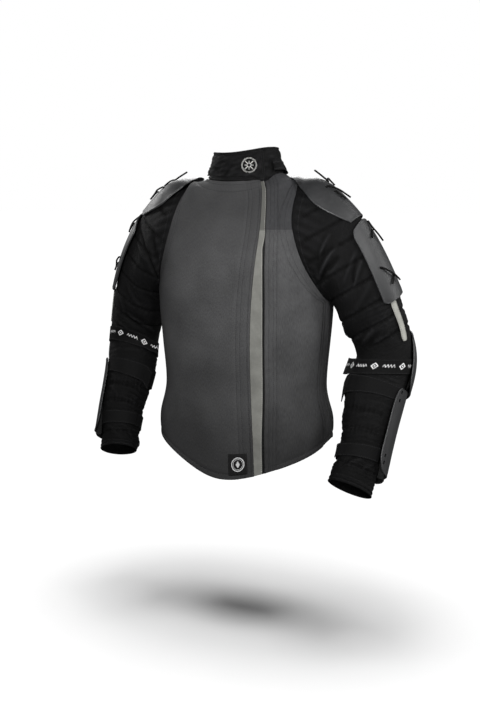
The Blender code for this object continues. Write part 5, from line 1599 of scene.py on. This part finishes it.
def creases(station, around_deg, side):
    """Sharp short creases between the large folds, each with a soft hollow beside it."""
    surface = plain_sleeve(station, around_deg, side)
    total = np.zeros(surface.shape[:-1])
    steps = np.linspace(0.0, 1.0, 7)
    for start, start_deg, end, end_deg, half_width, height in SLEEVE_CREASES[side]:
        turn = start_deg + (end_deg - start_deg) * steps + 4.0 * np.sin(math.pi * steps)
        path = plain_sleeve(start + (end - start) * steps, turn, side)
        nearest, along = np.full(total.shape, 1.0), np.zeros(total.shape)
        for index, (first, last) in enumerate(zip(path[:-1], path[1:])):
            leg = last - first
            share = np.clip((surface - first) @ leg / (leg @ leg), 0.0, 1.0)
            away = np.linalg.norm(surface - first - share[..., None] * leg, axis=-1)
            along = np.where(away < nearest, (index + share) / (len(steps) - 1.0), along)
            nearest = np.minimum(nearest, away)
        fade = np.sqrt(np.clip(np.sin(math.pi * np.clip(along, 0.0, 1.0)), 0.0, 1.0))
        away = nearest / half_width
        shape = np.exp(-(away**2)) - 0.36 * np.exp(-((away / 2.3) ** 2))
        total = total + height * (0.25 + 0.75 * fade) * shape
    return total * ease(station / 0.08)


def local_relief(relief, depth, rounds=12):
    """Height of each place against the cloth round about it, between 0 and 1."""
    broad = relief
    for _ in range(rounds):
        padded = np.concatenate((broad[:1], broad, broad[-1:]))
        broad = (padded[:-2] + padded[1:-1] + padded[2:]) / 3.0
        broad = (np.roll(broad, 1, axis=1) + broad + np.roll(broad, -1, axis=1)) / 3.0
    return np.clip(0.5 + (relief - broad) / depth, 0.0, 1.0)


def drawn_row(away, length, index, look):
    """One stitched row drawn into the padding, with puckers along it and ripples beside it."""
    uneven, pucker_rate, rates, lean, ripple_height, reach = look
    pucker = np.sin(length * pucker_rate + 1.9 * index) * np.sin(length * 163.0 + index)
    ripple = np.sin(length * rates[0] + 2.3 * index + away * lean) * np.sin(length * rates[1] + index)
    away = away / QUILT_HALF
    hollow = QUILT_DEPTH * (1.0 - uneven + uneven * pucker) * np.exp(-(away**2))
    return ripple_height * ripple * np.exp(-((away / reach) ** 2)) - hollow


def quilting(station, around_deg, side):
    """Rows of stitching round the sleeve, drawn into the padding."""
    turn = np.mod(around_deg, 360.0)
    length = np.radians(turn) * MEAN_RADIUS
    distance = arm_distance(station, around_deg, side)
    upper = ease(station / 0.12) * ease((ELBOW_SEAM - station) / 0.1)
    total = sum(drawn_row(distance - row, length, index, ARM_ROW_LOOK) * upper
                for index, row in enumerate(ARM_QUILT_ROWS))
    for index, (place, lean, start, end) in enumerate(QUILT_ROWS):
        away = (station - place - lean * np.cos(np.radians(turn - 60.0))) * RING_SPACING
        shown = ease((turn - start) / 14.0) * ease((end - turn) / 14.0)
        total = total + drawn_row(away, length, index, FOREARM_ROW_LOOK) * shown
    return total


def wrinkles(station, around_deg, side):
    """Fine cross wrinkles of the forearm and small ones beside the folds of the upper arm."""
    length = np.radians(around_deg) * MEAN_RADIUS
    down = station * RING_SPACING
    wander = 0.0035 * np.sin(length * 31.0 + side) + 0.002 * np.sin(length * 74.0 + 2.0 * side)
    cross = np.sin((down + wander) * 2.0 * math.pi / WRINKLE_PITCH)
    finer = np.sin((down * 1.7 - wander * 1.3) * 2.0 * math.pi / WRINKLE_PITCH + 1.3)
    patches = 0.5 + 0.5 * cloth_noise(down, length, 60.0, 11 + side)
    low_arm = ease((station - 3.2) / 0.5) * ease((CUFF - 0.25 - station) / 0.3)
    upper = ease(station / 0.4) * ease((2.3 - station) / 0.3) * 0.45
    total = (cross + 0.5 * finer) * patches * WRINKLE_HEIGHT * (low_arm + upper)
    crumple = 0.0018 * cloth_noise(down, length, 55.0, 21 + side)
    crumple = crumple + 0.0008 * cloth_noise(down, length, 140.0, 31 + side)
    total = total + crumple * ease(station / 0.3) + creases(station, around_deg, side)
    return total * ease((CUFF - station) / 0.3)


def head_gathers(station, around_deg):
    """Fullness of the sleeve's head, drawn in along the armhole seam."""
    near = np.exp(-((station / 0.22) ** 2))
    return 0.0010 * near * np.sin(np.radians(around_deg) * 34.0) * ease(station / 0.05)


def sleeve_grids(stations, around, side):
    station, angle = np.meshgrid(stations, around, indexing="ij")
    relief = quilting(station, angle, side) + wrinkles(station, angle, side) + head_gathers(station, angle)
    for band in HELD_STATIONS:
        relief = relief * (1.0 - 0.8 * np.exp(-(((station - band) / 0.2) ** 2)))
    at_head = stations[0] <= 0.0
    if at_head:
        edge = 0.0012 * np.exp(-((station / 0.03) ** 2))
    else:
        run = (CUFF - station) * CUFF_SPACING
        edge = rim(run, 0.0016) + row_depths(run, CUFF_ROWS)
    outer = sleeve_offset(station, angle, relief - edge, side)
    inner = sleeve_offset(station, angle, 0.4 * edge + 0.6 * relief - SLEEVE_WALL, side)
    if at_head:
        inner[0] = armhole_point(around, np.full(len(around), BODY_WALL)) * (float(side), 1.0, 1.0)
    return outer, inner, relief


def ring_lines(grid, inner, stations, marks):
    """Closed lines round a sleeve at these stations."""
    rows = [int(np.argmin(np.abs(stations - mark))) for mark in marks]
    path, out = wrapped(grid), wrapped(grid_normals(grid, inner))
    return [(path[row], out[row]) for row in rows]


def sleeve_line(station, turn, side):
    """Line of stitching that lies on the quilted sleeve."""
    relief = quilting(station, turn, side) + wrinkles(station, turn, side)
    path = sleeve_offset(station, turn, relief - 0.0002, side)
    return path, unit(sleeve_offset(station, turn, relief + 0.002, side) - path)


def quilt_lines(side, low, high):
    """Stitching along the quilted rows of a sleeve."""
    lines = arm_quilt_lines(side, high) if low < BICEPS else []
    for place, lean, start, end in QUILT_ROWS:
        turn = np.linspace(start + 4.0, end - 4.0, 90)
        row = place + lean * np.cos(np.radians(turn - 60.0))
        keep = (row > low) & (row < high)
        if keep.sum() >= 8:
            lines.append(sleeve_line(row[keep], turn[keep], side))
    return lines


def arm_quilt_lines(side, high):
    """Stitching of the upper sleeve's rows, each found by its distance down the arm."""
    turns, stations = np.linspace(0.0, 360.0, 121), np.linspace(0.02, high, 90)
    distance = arm_distance(*np.meshgrid(stations, turns, indexing="ij"), side)
    lines = []
    for row in ARM_QUILT_ROWS:
        places = np.array([np.interp(row, run, stations, left=-1.0, right=-1.0) for run in distance.T])
        keep = np.flatnonzero(places > 0.05)
        parts = np.split(keep, np.flatnonzero(np.diff(keep) > 1) + 1)
        # Where a row runs off the sleeve and comes back, its part from 0 degrees on stays bare
        if len(parts) > 1 and keep[-1] - keep[0] == len(turns) - 1:
            parts = parts[1:]
        for part in parts:
            if len(part) >= 8:
                lines.append(sleeve_line(places[part], turns[part], side))
    return lines


def build_sleeve(side, prefix):
    """Both parts of a sleeve, its quilted rows and the hem of its cuff."""
    around = np.arange(SLEEVE_FACETS) * 360.0 / SLEEVE_FACETS
    seam = 0.5 * SEAM_GAP / RING_SPACING
    head = (0.0, 0.012, 0.03, 0.055, *np.linspace(0.07, BICEPS, 124)[:-1],
            *np.linspace(BICEPS, ELBOW_SEAM - seam, 46))
    fore = (*np.linspace(ELBOW_SEAM + seam, CUFF - 0.30, 118)[:-1],
            *(CUFF - step for step in CUFF_STEPS))
    cuff = [CUFF - mark / CUFF_SPACING for mark in CUFF_ROWS]
    finish = shared("sleeve_cloth", sleeve_finish)
    for name, stations, rings in (("sleeve_upper", head, (0.055,)), ("sleeve_lower", fore, cuff)):
        stations = np.array(stations)
        outer, inner, relief = sleeve_grids(stations, around, side)
        lines = quilt_lines(side, stations[0] + 0.02, stations[-1] - 0.05)
        lines += ring_lines(outer, inner, stations, rings)
        sew(prefix + name, outer, inner, finish, lines, smooth_deg=70.0, closed=True,
            relief=local_relief(relief, 0.0075))


# Plates and pads

def plate_shares(length, radius, middle):
    first = np.array((0.0, 0.12, 0.35, 0.7, 1.1, 1.7)) * radius
    even = np.linspace(first[-1], length - first[-1], middle + 2)[1:-1]
    return np.concatenate((first, even, length - first[::-1])) / length


def plate_grids(place, height, wall, side, sizes, counts, raise_by):
    """Grids of a curved plate with rounded edges, from shares along and across it."""
    width, length = sizes
    over, down = np.meshgrid(plate_shares(width, PLATE_ROUND, counts[1]),
                             plate_shares(length, PLATE_ROUND, counts[0]))
    station, around = place(down, over)
    under = height(station, around)
    edges = edge_distances(sleeve_offset(station, around, under, side, False))
    drop = edge_drop(edges, PLATE_ROUND)
    extra = raise_by(around, np.minimum.reduce(edges))
    outer = sleeve_offset(station, around, under + wall - 0.62 * drop + extra, side, False)
    return outer, sleeve_offset(station, around, under + 0.38 * drop, side, False)


def plate_lip(_, from_edge):
    """Slightly raised lip just inside a moulded edge."""
    return PLATE_LIP * np.exp(-(((from_edge - 0.0026) / 0.0016) ** 2))


def cap_place(side):
    start, end = CAP_SPAN[side]

    def place(share, over):
        across = 2.0 * over - 1.0
        half = column(CAP_ROWS, CAP_COLUMNS, "half_width_deg", share * (len(CAP_ROWS) - 1.0))
        return start + (end - start) * share + CAP_BOW * (1.0 - across**2) * ease(share), half * across
    return place


def arm_plate_place(side):
    start, end = ARM_PLATE_SPAN[side]

    def place(share, over):
        drawn = rim(share, 0.5 * ARM_PLATE_CORNER) + rim(1.0 - share, ARM_PLATE_CORNER)
        half = ARM_PLATE_HALF_DEG - drawn / ARM_PLATE_CORNER * ARM_PLATE_CORNER_DEG
        return start + (end - start) * share, ARM_PLATE_CENTRE + ARM_TURN[side] + half * (2.0 * over - 1.0)
    return place


def cop_place(share, over):
    down, across = 2.0 * share - 1.0, 2.0 * over - 1.0
    station = COP_STATION + COP_HALF_LENGTH * down * np.sqrt(1.0 - COP_ROUNDING * across**2)
    return station, COP_CENTRE + COP_HALF_DEG * across * np.sqrt(1.0 - COP_ROUNDING * down**2)


def forearm_place(side):
    def place(share, over):
        station = GUARD_START + (GUARD_END - GUARD_START) * share
        back_deg, front_deg = guard_value("back_deg", station), guard_value("front_deg", station)
        drawn = rim(share, GUARD_CORNER) + rim(1.0 - share, GUARD_CORNER)
        half = 0.5 * (front_deg - back_deg) - GUARD_CORNER_DEG * drawn / GUARD_CORNER
        return station, FORE_TURN[side] + 0.5 * (back_deg + front_deg) + half * (2.0 * over - 1.0)
    return place


def forearm_ridge(side):
    """Soft ridge down the middle of the forearm plate."""
    def raise_by(around, from_edge):
        ridge = np.exp(-(((around - FORE_TURN[side] - FOREARM_RIDGE_DEG) / 11.0) ** 2))
        return FOREARM_RIDGE * ridge * ease(from_edge / 0.012) + plate_lip(around, from_edge)
    return raise_by


def punched(made, prisms):
    """Cuts clean holes through a plate and keeps the result as its mesh."""
    points, faces = [], []
    for low, high in prisms:
        faces += prism_faces(len(points), len(low))
        points += [tuple(point) for point in (*low, *high)]
    data = bpy.data.meshes.new("hole_cutters")
    data.from_pydata(points, [], faces)
    data.update()
    tool = put_in_scene("hole_cutters", data)
    modifier = made.modifiers.new("holes", "BOOLEAN")
    modifier.operation = "DIFFERENCE"
    modifier.solver = "EXACT"
    modifier.object = tool
    ready = made.evaluated_get(bpy.context.evaluated_depsgraph_get())
    cut_mesh = bpy.data.meshes.new_from_object(ready)
    old = made.data
    made.modifiers.clear()
    made.data = cut_mesh
    bpy.data.meshes.remove(old)
    bpy.data.objects.remove(tool)
    cut_mesh.set_sharp_from_angle(angle=math.radians(PLATE_SMOOTH_DEG))


def round_prism(start, end, radius, sides=14, margin=0.0012):
    axis = unit(end - start)
    aside = unit(np.cross(axis, (0.0, 0.0, 1.0)))
    turns = np.arange(sides)[:, None] * 2.0 * math.pi / sides
    ring = radius * (aside * np.cos(turns) + np.cross(axis, aside) * np.sin(turns))
    return start - axis * margin + ring, end + axis * margin + ring


def slot_prism(slot, low, high, side, turn):
    """Oblong prism with round ends, square to the sleeve."""
    station, around, *size = slot

    def at(place, lift):
        return sleeve_offset(np.array([place]), np.array([around + turn]), np.array([lift]), side, False)[0]

    centre, above = at(station, low - 0.0015), at(station, high + 0.0035)
    axis = unit(above - centre)
    along = at(station + 0.05, low) - centre
    along = unit(along - axis * np.dot(along, axis))
    turns = np.arange(20)[:, None] * 2.0 * math.pi / 20
    corner = [np.sign(part) * np.abs(part) ** 0.6 * 0.5 for part in (np.cos(turns), np.sin(turns))]
    length, width = (extent + SLOT_EASE for extent in size)
    ring = along * corner[0] * length + np.cross(axis, along) * corner[1] * width
    return centre + ring, above + ring


def slot_prisms(slots, height, wall, side, turn):
    for slot in slots:
        low = float(height(slot[0], slot[1]))
        yield slot_prism(slot, low, low + wall, side, turn)


def lace_crossings(name, side):
    """Where a lace goes through its plate: the points on either side of it."""
    route = lace_route(name, side)
    below = np.array(LACE_ROUTES[name])[:, LACE_COLUMNS.index("height")] < 0.0
    return [(route[i], route[i + 1]) for i in np.flatnonzero(below[:-1] != below[1:])]


def lace_prisms(side, start):
    return [round_prism(a, b, LACE_HOLE + HOLE_EASE) for name in LACE_ROUTES if name.startswith(start)
            for a, b in lace_crossings(name, side)]


def build_plates(side, prefix):
    """Four plates of one arm with their lace holes and strap slots."""
    def over_arm(station, _):
        return ARM_PLATE_LIFT + 0.0 * station

    def over_cap(station, around):
        return cap_height(station, around, side)

    def over_forearm(station, _):
        return guard_value("lift", station)

    fore_slots = slot_prisms(FORE_SLOTS, over_forearm, PLATE_WALL, side, FORE_TURN[side])
    cop_slots = slot_prisms(COP_SLOTS, cop_height, COP_WALL, side, 0.0)
    plates = (
        ("shoulder_cap", cap_place(side), over_cap, PLATE_WALL, (0.115, 0.125), (50, 50), plate_lip,
         lace_prisms(side, "cap")),
        ("arm_plate", arm_plate_place(side), over_arm, PLATE_WALL, (0.115, 0.062), (30, 52), plate_lip,
         lace_prisms(side, "plate")),
        ("elbow_cop", cop_place, cop_height, COP_WALL, (0.11, 0.11), (46, 46), plate_lip, cop_slots),
        ("forearm_plate", forearm_place(side), over_forearm, PLATE_WALL, (0.10, 0.15), (66, 44),
         forearm_ridge(side), fore_slots),
    )
    finish = shared("guard_plastic", plate_finish)
    for name, place, height, wall, sizes, counts, raise_by, holes in plates:
        outer, inner = plate_grids(place, height, wall, side, sizes, counts, raise_by)
        punched(make_shell(prefix + name, outer, inner, finish, PLATE_SMOOTH_DEG), holes)


def build_pads(side, prefix):
    """Foam pads behind the elbow cop and the forearm plate, crowned with soft edges."""
    over, share = np.meshgrid(np.linspace(0.0, 1.0, 40), np.linspace(0.0, 1.0, 40))
    edge = np.minimum(np.minimum(share, 1.0 - share), 1.0 - np.abs(2.0 * over - 1.0))
    around = COP_CENTRE + PAD_HALF_DEG * (2.0 * over - 1.0)
    station = PAD_START + (PAD_END - PAD_START) * share
    full = cop_height(station, around) - PAD_CLEARANCE
    high = PAD_EDGE + (full - PAD_EDGE) * ease(edge / PAD_SLOPE)
    build_pad(prefix + "elbow_pad", station, around, high, rim(edge * 0.08, 0.0012), side)
    station = FORE_PAD_START + (FORE_PAD_END - FORE_PAD_START) * share
    back_deg = guard_value("back_deg", station) + FORE_PAD_INSET_DEG
    front_deg = guard_value("front_deg", station) - FORE_PAD_INSET_DEG
    around = FORE_TURN[side] + back_deg + (front_deg - back_deg) * over
    high = np.maximum(guard_value("lift", station) - PAD_CLEARANCE, PAD_LIFT + FORE_PAD_THIN)
    build_pad(prefix + "forearm_pad", station, around, high, rim(edge * 0.10, 0.0030), side)


def build_pad(name, station, around, high, drop, side):
    outer = sleeve_offset(station, around, high - 0.5 * drop, side, False)
    inner = sleeve_offset(station, around, PAD_LIFT + 0.5 * drop, side, False)
    make_shell(name, outer, inner, shared("pad_cloth", foam_finish), 60.0)


# Bands, straps and the strip below the arm plate

def strip_patch(name, station, around, low, wall, side, finish, marks):
    """Long strip on the sleeve, with soft edges and stitched rows."""
    edges = edge_distances(sleeve_offset(station, around, low, side))
    drop = edge_drop(edges, 0.0007)
    outer = sleeve_offset(station, around, low + wall - drop, side)
    inner = sleeve_offset(station, around, low + 0.3 * drop, side)
    sew(name, outer, inner, finish, edge_lines(outer, inner, edges, ((), (), marks, marks)), smooth_deg=60.0)


def lapped(around, wall):
    """Extra height where a strip's front half climbs onto its rear half."""
    return ease((around - LAP_LEAVE) / (LAP_START - LAP_LEAVE)) * (wall + LAP_GAP)


def build_bands(side, prefix):
    """Elastic band round the elbow, in two halves that overlap at the inner side."""
    finish = shared("elastic_band", band_finish)
    offsets = BAND_HALF - 2.0 * BAND_HALF * plate_shares(2.0 * BAND_HALF, 0.0012, 10)
    halves = (("front", BAND_FRONT_DEG, BAND_END_DEG), ("rear", LAP_START, BAND_REAR_DEG))
    for end_name, first, last in halves:
        angles = np.linspace(first, last, 110)
        station = plane_station(angles[None, :], side, offsets[:, None])
        around = np.broadcast_to(angles, station.shape)
        low = BAND_LIFT + 0.0 * around
        if end_name == "front":
            station = station + BAND_DROOP * ease((around - BAND_FREE_DEG) / (last - BAND_FREE_DEG))
            low = low + lapped(around, BAND_WALL) + free_end(around, BAND_FREE_DEG, BAND_FREE_RADIUS)
        name = prefix + "elbow_band_" + end_name
        strip_patch(name, station, around, low, BAND_WALL, side, finish, (0.0024,))


def build_straps(side, prefix):
    """Two hook straps of the forearm plate, each in two halves."""
    finish = shared("strap_webbing", webbing_finish)
    turn = FORE_TURN[side]
    straps = (("upper", *UPPER_STRAP[side], UPPER_STRAP_END_DEG),
              ("lower", *LOWER_STRAP[side], LOWER_STRAP_END_DEG))
    for place, start, end_station, slant, end_deg in straps:
        halves = (("front", STRAP_FRONT_DEG + turn, end_deg), ("rear", LAP_START, STRAP_REAR_DEG + turn))
        for end_name, first, last in halves:
            angles = np.linspace(first, last, 100)
            share, around = np.meshgrid(plate_shares(0.024, 0.0011, 9), angles, indexing="ij")
            lean = slant * 0.5 * (1.0 - np.cos(np.radians(around)))
            station = start + (end_station - start) * share + lean
            low = BAND_LIFT + 0.0 * around
            if end_name == "front":
                low = low + lapped(around, STRAP_WALL)
            if (place, end_name) == ("upper", "front"):
                low = low + free_end(around, STRAP_FREE_DEG, STRAP_FREE_RADIUS)
                station = station + STRAP_DROOP * ease((around - STRAP_FREE_DEG) / (last - STRAP_FREE_DEG))
            name = f"{prefix}{place}_strap_{end_name}"
            strip_patch(name, station, around, low, STRAP_WALL, side, finish, (0.0022,))


def build_strip(side, prefix):
    """Light strip down the sleeve below the arm plate, sewn down at both edges."""
    share = plate_shares(0.088, 0.0011, 44)
    half = TAB_SHOWN_DEG * (1.0 - TAB_TIP_NARROWING * rim(1.0 - share, TAB_TIP) / TAB_TIP)
    across = 2.0 * plate_shares(0.018, 0.0011, 8) - 1.0
    around = TAB_CENTRE + half[None, :] * across[:, None]
    station = np.broadcast_to(TAB_START + (TAB_END - TAB_START) * share, around.shape)
    low = BAND_LIFT + 0.0 * around
    finish = shared("sleeve_webbing", sleeve_webbing)
    strip_patch(prefix + "sleeve_strip", station, around, low, TAB_WALL, side, finish, (0.0018,))


# Laces

def smooth_route(route, step):
    """Points along a smooth curve through the route's own points, which stay among them."""
    places = [0.0]
    for index, leg in enumerate(np.linalg.norm(np.diff(route, axis=0), axis=-1)):
        parts = max(1, int(round(leg / step)))
        places.extend(index + (part + 1.0) / parts for part in range(parts))
    rows = [tuple(point) for point in route]
    return np.stack([column(rows, ("x", "y", "z"), name, places) for name in "xyz"], axis=-1)


def build_laces(side, prefix):
    """Four laces of one arm, each through two holes of its plate."""
    finish = shared("lace_braid", lace_finish)
    for name in LACE_ROUTES:
        points = smooth_route(lace_route(name, side), LACE_STEP)
        data = bpy.data.curves.new(prefix + name, "CURVE")
        data.dimensions = "3D"
        data.bevel_depth = LACE_SHOWN_RADIUS
        data.bevel_resolution = 4
        data.resolution_u = 6
        data.use_fill_caps = True
        spline = data.splines.new("NURBS")
        spline.points.add(len(points) - 1)
        for point, place in zip(spline.points, points):
            point.co = (*place, 1.0)
        spline.order_u = 3
        spline.use_endpoint_u = True
        made = make_object(prefix + name, data, finish, replaces=(prefix + name,))
        length = float(run_along(points)[-1])


# Studio

def light_world(scene):
    """White backdrop for the camera, and a share of its light on the jacket."""
    world = bpy.data.worlds.new("studio_light")
    world.use_nodes = True
    nodes, links = world.node_tree.nodes, world.node_tree.links
    backdrop = nodes["Background"]
    backdrop.inputs["Color"].default_value = (1.0, 1.0, 1.0, 1.0)
    seen = nodes.new("ShaderNodeMapRange")
    seen.inputs["To Min"].default_value = scene.studio.backdrop
    seen.inputs["To Max"].default_value = 1.0
    links.new(nodes.new("ShaderNodeLightPath").outputs["Is Camera Ray"], seen.inputs["Value"])
    links.new(seen.outputs[0], backdrop.inputs["Strength"])
    scene.world = world


def lay_floor():
    data = bpy.data.meshes.new("studio_floor")
    corners = [(x * FLOOR_REACH, y * FLOOR_REACH, 0) for x, y in ((-1, -1), (1, -1), (1, 1), (-1, 1))]
    data.from_pydata(corners, [], [(0, 1, 2, 3)])
    data.materials.append(worn_finish("pale_floor", 3.0, grey(0.84), grey(0.88), 0.86, 0.1))
    floor = put_in_scene("studio_floor", data)
    floor.location = (0.0, 0.0, FLOOR_Z)
    floor.visible_diffuse = False
    floor.visible_glossy = False
    return floor


def hang_lamps(floor, power_share):
    """Soft lamps that light all but the floor, and an overhead one that lights only the floor."""
    apart = bpy.data.collections.new("lit_without_floor")
    apart.objects.link(floor)
    apart.collection_objects[0].light_linking.link_state = "EXCLUDE"
    lamps = []
    for name, place, aim, size, power, spread in STUDIO_LAMPS:
        lamp = bpy.data.lights.new(name, "AREA")
        lamp.shape = "RECTANGLE"
        lamp.size, lamp.size_y = size
        lamp.energy = power * power_share
        lamp.spread = math.radians(spread)
        made = put_in_scene(name, lamp)
        made.location = place
        made.rotation_euler = (Vector(aim) - Vector(place)).to_track_quat("-Z", "Y").to_euler()
        made.light_linking.receiver_collection = apart
        lamps.append(made)
    above = bpy.data.lights.new("top_light", "SUN")
    above.energy = TOP_POWER * power_share
    above.angle = math.radians(TOP_SPREAD_DEG)
    lit = bpy.data.collections.new("lit_from_above")
    lit.objects.link(floor)
    made = put_in_scene("top_light", above)
    made.light_linking.receiver_collection = lit
    return [*lamps, made]


def build_studio():
    """Pale floor, even soft light and the camera."""
    scene = bpy.context.scene
    light_world(scene)
    floor = lay_floor()
    lamps = hang_lamps(floor, scene.studio.light)
    eye = bpy.data.cameras.new("front_view")
    eye.lens = CAMERA_LENS
    eye.sensor_width = 36.0
    eye.shift_x, eye.shift_y = CAMERA_SHIFT
    camera = put_in_scene("front_view", eye)
    turn = math.radians(CAMERA_TURN_DEG)
    camera.location = (CAMERA_DISTANCE * math.sin(turn), -CAMERA_DISTANCE * math.cos(turn), CAMERA_Z)
    camera.rotation_euler = (math.radians(90.0), 0.0, turn)
    scene.camera = camera
    scene.view_settings.view_transform = "Standard"


# The add-on's choices, buttons and panel

def length_choice(name, text, default, low, high):
    return FloatProperty(name=name, description=text, default=default, min=low, max=high, unit="LENGTH",
                         precision=4)


def colour_choice(name, text, default):
    return FloatVectorProperty(name=name, description=text, default=default, min=0.0, max=1.0,
                               subtype="COLOR")


class JacketChoices(PropertyGroup):
    """Sizes and colours of the jacket."""

    stitch_length: length_choice("Stitch length", "Length of one stitch of a sewn row", 0.0030, 0.0015, 0.006)
    stitch_gap: length_choice("Stitch gap", "Gap between two stitches of a sewn row", 0.0012, 0.0004, 0.004)
    thread_width: length_choice("Thread width", "Thickness of the sewing thread", 0.0008, 0.0003, 0.0015)
    plastron_colour: colour_choice("Plastron", "Colour of the grey body cloth", (0.050, 0.050, 0.051))
    thread_colour: colour_choice("Thread", "Colour of the stitching on the body", (0.007, 0.007, 0.008))
    strip_colour: colour_choice("Strip", "Colour of the light webbing", (0.146, 0.146, 0.134))
    sleeve_colour: colour_choice("Sleeve", "Colour of the black sleeve and collar cloth",
                                 (0.0027, 0.0027, 0.0029))
    plate_colour: colour_choice("Guards", "Colour of the plastic guards", (0.0140, 0.0144, 0.0152))
    strap_colour: colour_choice("Straps", "Colour of the straps and bands", (0.0026, 0.0026, 0.0027))


class StudioChoices(PropertyGroup):
    """Light of the studio."""

    backdrop: FloatProperty(name="Backdrop", description="Light that comes from all sides", default=0.14,
                            min=0.0, max=4.0)
    light: FloatProperty(name="Soft light", description="Share of the lamps' full power", default=1.0,
                         min=0.0, max=4.0)


class Maker:
    """Runs the builders of one group of pieces, and those of an arm once for each arm."""

    builders = ()
    arm_builders = ()

    def execute(self, context):
        for build in self.builders:
            build()
        for side, prefix in SIDES:
            for build in self.arm_builders:
                build(side, prefix)
        return {"FINISHED"}


class MakeBody(Maker, Operator):
    """Makes the two fronts, the back and their stitching"""

    bl_idname = "jacket.make_body"
    bl_label = "Body panels"
    builders = (build_front_right, build_front_left, build_back)


class MakeClosure(Maker, Operator):
    """Makes the light facing strip, the tape, the zip teeth and the hem patch"""

    bl_idname = "jacket.make_closure"
    bl_label = "Closure and patch"
    builders = (build_closure, build_label)


class MakeCollar(Maker, Operator):
    """Makes the stand collar, its badge and the guard band at its foot"""

    bl_idname = "jacket.make_collar"
    bl_label = "Collar"
    builders = (build_collar, build_collar_base)


class MakeSleeves(Maker, Operator):
    """Makes both padded sleeves with their quilting"""

    bl_idname = "jacket.make_sleeves"
    bl_label = "Sleeves"
    arm_builders = (build_sleeve,)


class MakeGuards(Maker, Operator):
    """Makes the plastic guards and the pads behind them"""

    bl_idname = "jacket.make_guards"
    bl_label = "Guards and pads"
    arm_builders = (build_plates, build_pads)


class MakeStraps(Maker, Operator):
    """Makes the elbow bands, hook straps and light sleeve strips"""

    bl_idname = "jacket.make_straps"
    bl_label = "Bands and straps"
    arm_builders = (build_bands, build_straps, build_strip)


class MakeLaces(Maker, Operator):
    """Makes the laces that hold the caps and arm plates"""

    bl_idname = "jacket.make_laces"
    bl_label = "Laces"
    arm_builders = (build_laces,)


class MakeStudio(Maker, Operator):
    """Makes the floor, the soft light and the camera"""

    bl_idname = "jacket.make_studio"
    bl_label = "Studio"
    builders = (build_studio,)


class JacketPanel(Panel):
    """Buttons and choices of the jacket"""

    bl_idname = "VIEW3D_PT_jacket"
    bl_label = "Fencing jacket"
    bl_space_type = "VIEW_3D"
    bl_region_type = "UI"
    bl_category = "Jacket"

    def draw(self, context):
        layout = self.layout
        for group in (context.scene.jacket, context.scene.studio):
            for name in group.__annotations__:
                layout.prop(group, name)
        for step in STEPS:
            layout.operator(step.bl_idname)


STEPS = (MakeBody, MakeClosure, MakeCollar, MakeSleeves, MakeGuards, MakeStraps, MakeLaces, MakeStudio)
CLASSES = (JacketChoices, StudioChoices, *STEPS, JacketPanel)


def register():
    for made in CLASSES:
        bpy.utils.register_class(made)
    bpy.types.Scene.jacket = PointerProperty(type=JacketChoices)
    bpy.types.Scene.studio = PointerProperty(type=StudioChoices)


def unregister():
    del bpy.types.Scene.studio
    del bpy.types.Scene.jacket
    for made in reversed(CLASSES):
        bpy.utils.unregister_class(made)


def main():
    register()
    for step in STEPS:
        group, name = step.bl_idname.split(".")
        getattr(getattr(bpy.ops, group), name)()


if __name__ == "__main__":
    main()
